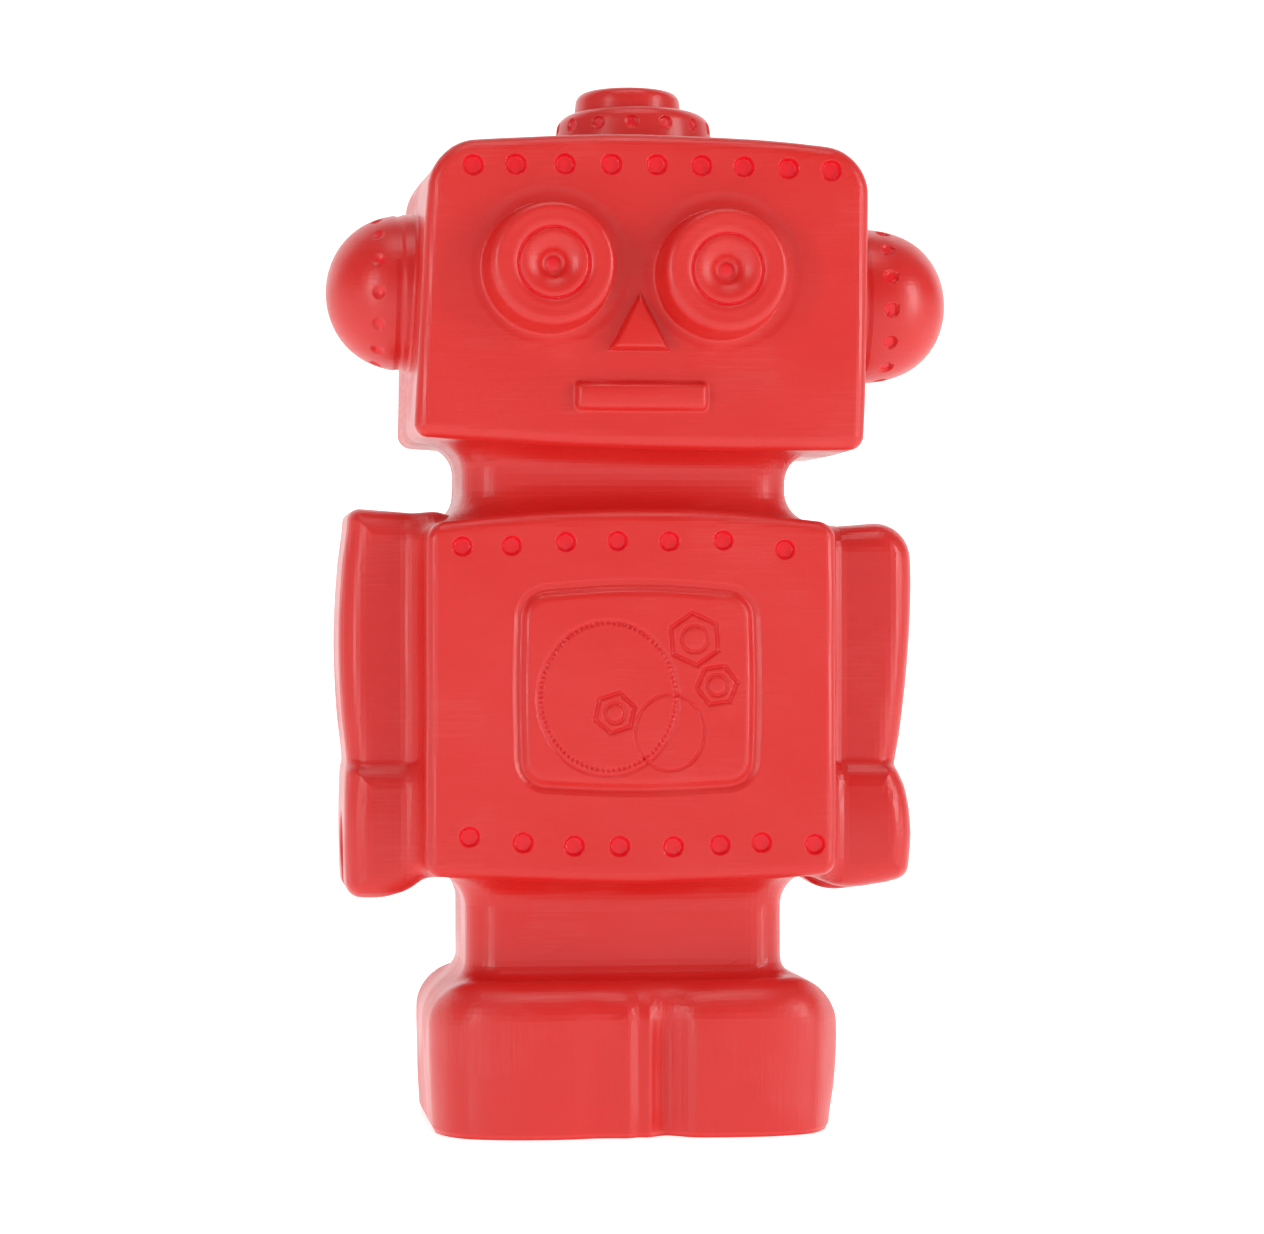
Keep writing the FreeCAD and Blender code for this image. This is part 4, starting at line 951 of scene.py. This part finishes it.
def screw_profile(length, tall):
    """A pointed shank with a thread's ridges, and a domed head over the seat at height 0."""
    shape = [(0.05, -length), (SHANK_R * 0.7, 1.4 - length)]
    ridges = int((length - 3) / 1.1)
    for k in range(ridges):
        shape += [(SHANK_R * 0.82, 1.6 - length + 1.1 * k), (SHANK_R, 2.15 - length + 1.1 * k)]
    shape += [(SHANK_R * 0.9, -0.6), (SHANK_R * 0.9, 0), (HEAD_R - 0.1, 0), (HEAD_R, 0.25)]
    for k in range(1, 10):
        slant = math.radians(10 * k)
        shape.append((HEAD_R * math.cos(slant), 0.25 + (tall - 0.25) * math.sin(slant)))
    shape.append((0.02, tall))
    return shape


STEEL = FINISHES["screw_steel"]
screws = (
    ("shell_screws", 26, HEAD_TALL, "+y", [(x, SCREW_SEAT, z) for x, z in POSTS]),
    ("movement_screws", 23, HEAD_TALL, "+y", [(x, BACK_Y - 3, z) for x, z in PILLARS]),
    ("base_screws", 10, 1.4, "-z", [(x, y, 1.6) for x, y in BASE_POSTS]),
)
for label, length, tall, way, places in screws:
    thing = turned(label + "_form", screw_profile(length, tall), 32, way, places, 0.9)
    piece(thing, STEEL, "screw_steel", "casing", [label])

bush_profile = [(2.56, -2.4), (4.9, -2.4), (4.9, 0), (7.7, 0), (8, 0.25), (8, 0.8), (7.6, 1.15), (5.2, 1.2),
                (4.6, 1.2), (2.9, 1.2), (2.56, 0.9)]
bush = turned("key_bush_form", bush_profile, 64, "+y", [(0, BACK_Y, WINDER_UP)])
piece(bush, FINISHES["plate_brass"], "plate_brass", "casing", ["key_bush"])

knob_profile = [(1.5, -15.2), (1.5, 0), (2.6, 0), (3, 0.35), (3, 1.9), (2.9, 2.3), (2.6, 2.7), (2.0, 2.95),
                (0.02, 3)]
knob = turned("stop_knob_form", knob_profile, 48, "+y", [(LEVER_X, 42.5, LEVER_UP + KNOB_UP)])
piece(knob, FINISHES["knob_metal"], "knob_metal", "stop", ["stop_knob"])


# ---------------------------------------------------------------- the winding key

KEY_AT, LOBE_R, LOBE_HOLE, LOBE_OUT, GRIP_HALF = (0, 59, 128), 9.0, 4.05, 10.0, 1.3
ROLL_R, HUB_R, HUB_MIDDLE, HUB_HALF, BORE_R, BORE_END = 1.5, 4.6, 52, 8.5, 2.55, 55


def key(x, y, z):
    """A pressed grip with two pierced lobes, brazed in a round hub."""
    u, v, w = np.abs(x - KEY_AT[0]), y - KEY_AT[1], z - KEY_AT[2]
    lobe = np.hypot(u - LOBE_OUT, v)
    waist = np.maximum(u - LOBE_OUT, np.abs(v) - 4.4)
    flat = join(lobe - LOBE_R, waist, 5)
    flat = np.maximum(flat, LOBE_HOLE - lobe)
    grip = meet(flat, np.abs(w) - GRIP_HALF, 0.6)
    rolled = np.hypot(np.maximum(lobe - LOBE_R, LOBE_HOLE - lobe) + ROLL_R, w) - ROLL_R
    grip = np.where(u > 3, join(grip, rolled, 0.4), grip)
    hub = meet(np.hypot(u, w) - HUB_R, np.abs(y - HUB_MIDDLE) - HUB_HALF, 0.7)
    bore = np.where(y < BORE_END, BORE_R - np.hypot(u, w), -1.0)
    return np.maximum(join(grip, hub, 1.2), bore)


outside(key, FINISHES["key_metal"], "key_metal", "winder", "winding_key_form", (-20, 43, 122),
        (20, 69, 134), 0.7, ["winding_key"], finest=0.35)


# ---------------------------------------------------------------- finishes of the pieces kept from the frame

for entry in frame["record"]["subparts"]:
    node = frame["nodes"][entry["node"]]
    node.data.materials.clear()
    node.data.materials.append(FINISHES[entry["material_slot"]])


# ---------------------------------------------------------------- floor, light and camera

def stage_finish(name, colour):
    finish, tree, shader = tree_of(name)
    mottled = grain(tree, (9, 9, 9), 2.0)
    darker = tuple(0.99 * c for c in colour)
    tree.links.new(mixed(tree, ramp(tree, mottled, 0.3, 0.7, 0.0, 1.0), colour, darker),
                   shader.inputs["Base Color"])
    shader.inputs["Roughness"].default_value = 0.4
    shader.inputs["Emission Color"].default_value = (1, 1, 1, 1)
    shader.inputs["Emission Strength"].default_value = 0.6
    return finish


def floor():
    """A pale sheet that curves up behind the figure."""
    flat_end, bend = 0.8, 0.9
    profile = [(-2.5, 0), (flat_end, 0)]
    for a in np.linspace(0.1, math.pi / 2, 14):
        profile.append((flat_end + bend * math.sin(a), bend - bend * math.cos(a)))
    profile.append((1.7, 3.2))
    verts = [(x, y, z) for y, z in profile for x in (-3, 3)]
    faces = [(2 * k, 2 * k + 1, 2 * k + 3, 2 * k + 2) for k in range(len(profile) - 1)]
    mesh = bpy.data.meshes.new("floor")
    mesh.from_pydata(verts, [], faces)
    mesh.shade_smooth()
    sheet = bpy.data.objects.new("floor", mesh)
    mesh.materials.append(stage_finish("paper", (0.93, 0.93, 0.93)))
    bpy.context.scene.collection.objects.link(sheet)


def soft_light(name, place, target, power, wide, tall):
    light = bpy.data.lights.new(name, "AREA")
    light.shape, light.size, light.size_y, light.energy = "RECTANGLE", wide, tall, power
    lamp = bpy.data.objects.new(name, light)
    lamp.location = place
    lamp.rotation_euler = (Vector(target) - Vector(place)).to_track_quat("-Z", "Y").to_euler()
    bpy.context.scene.collection.objects.link(lamp)


floor()
middle = (0, 0, 0.15)
soft_light("left_box", (-1.15, -1.0, 0.42), middle, 5.0, 0.22, 0.8)
soft_light("right_box", (1.3, -0.75, 0.48), middle, 8.0, 0.34, 0.9)
soft_light("top_box", (0, -0.4, 1.6), middle, 5.5, 1.1, 0.7)

world = bpy.data.worlds.new("studio")
world.use_nodes = True
sky = world.node_tree
direction = add(sky, "TexCoord").outputs["Generated"]
height = add(sky, "SeparateXYZ", [("Vector", direction)]).outputs["Z"]
background = sky.nodes["Background"]
background.inputs["Color"].default_value = (1, 1, 1, 1)
sky.links.new(ramp(sky, height, 0.02, 0.26, 0.95, 0.27), background.inputs["Strength"])
bpy.context.scene.world = world

CAMERA_FAR, CAMERA_TURN, CAMERA_UP, AIM_X = 1.100, math.radians(7), 0.1457, 0.00528
lens = bpy.data.cameras.new("camera")
lens.lens, lens.sensor_width, lens.clip_start, lens.clip_end = 107.4, 36, 0.01, 100
camera = bpy.data.objects.new("camera", lens)
camera.location = (AIM_X - CAMERA_FAR * math.sin(CAMERA_TURN), -CAMERA_FAR * math.cos(CAMERA_TURN),
                   CAMERA_UP)
camera.rotation_euler = (math.pi / 2, 0, -CAMERA_TURN)
bpy.context.scene.collection.objects.link(camera)
bpy.context.scene.camera = camera
bpy.context.scene.view_settings.view_transform = "Standard"
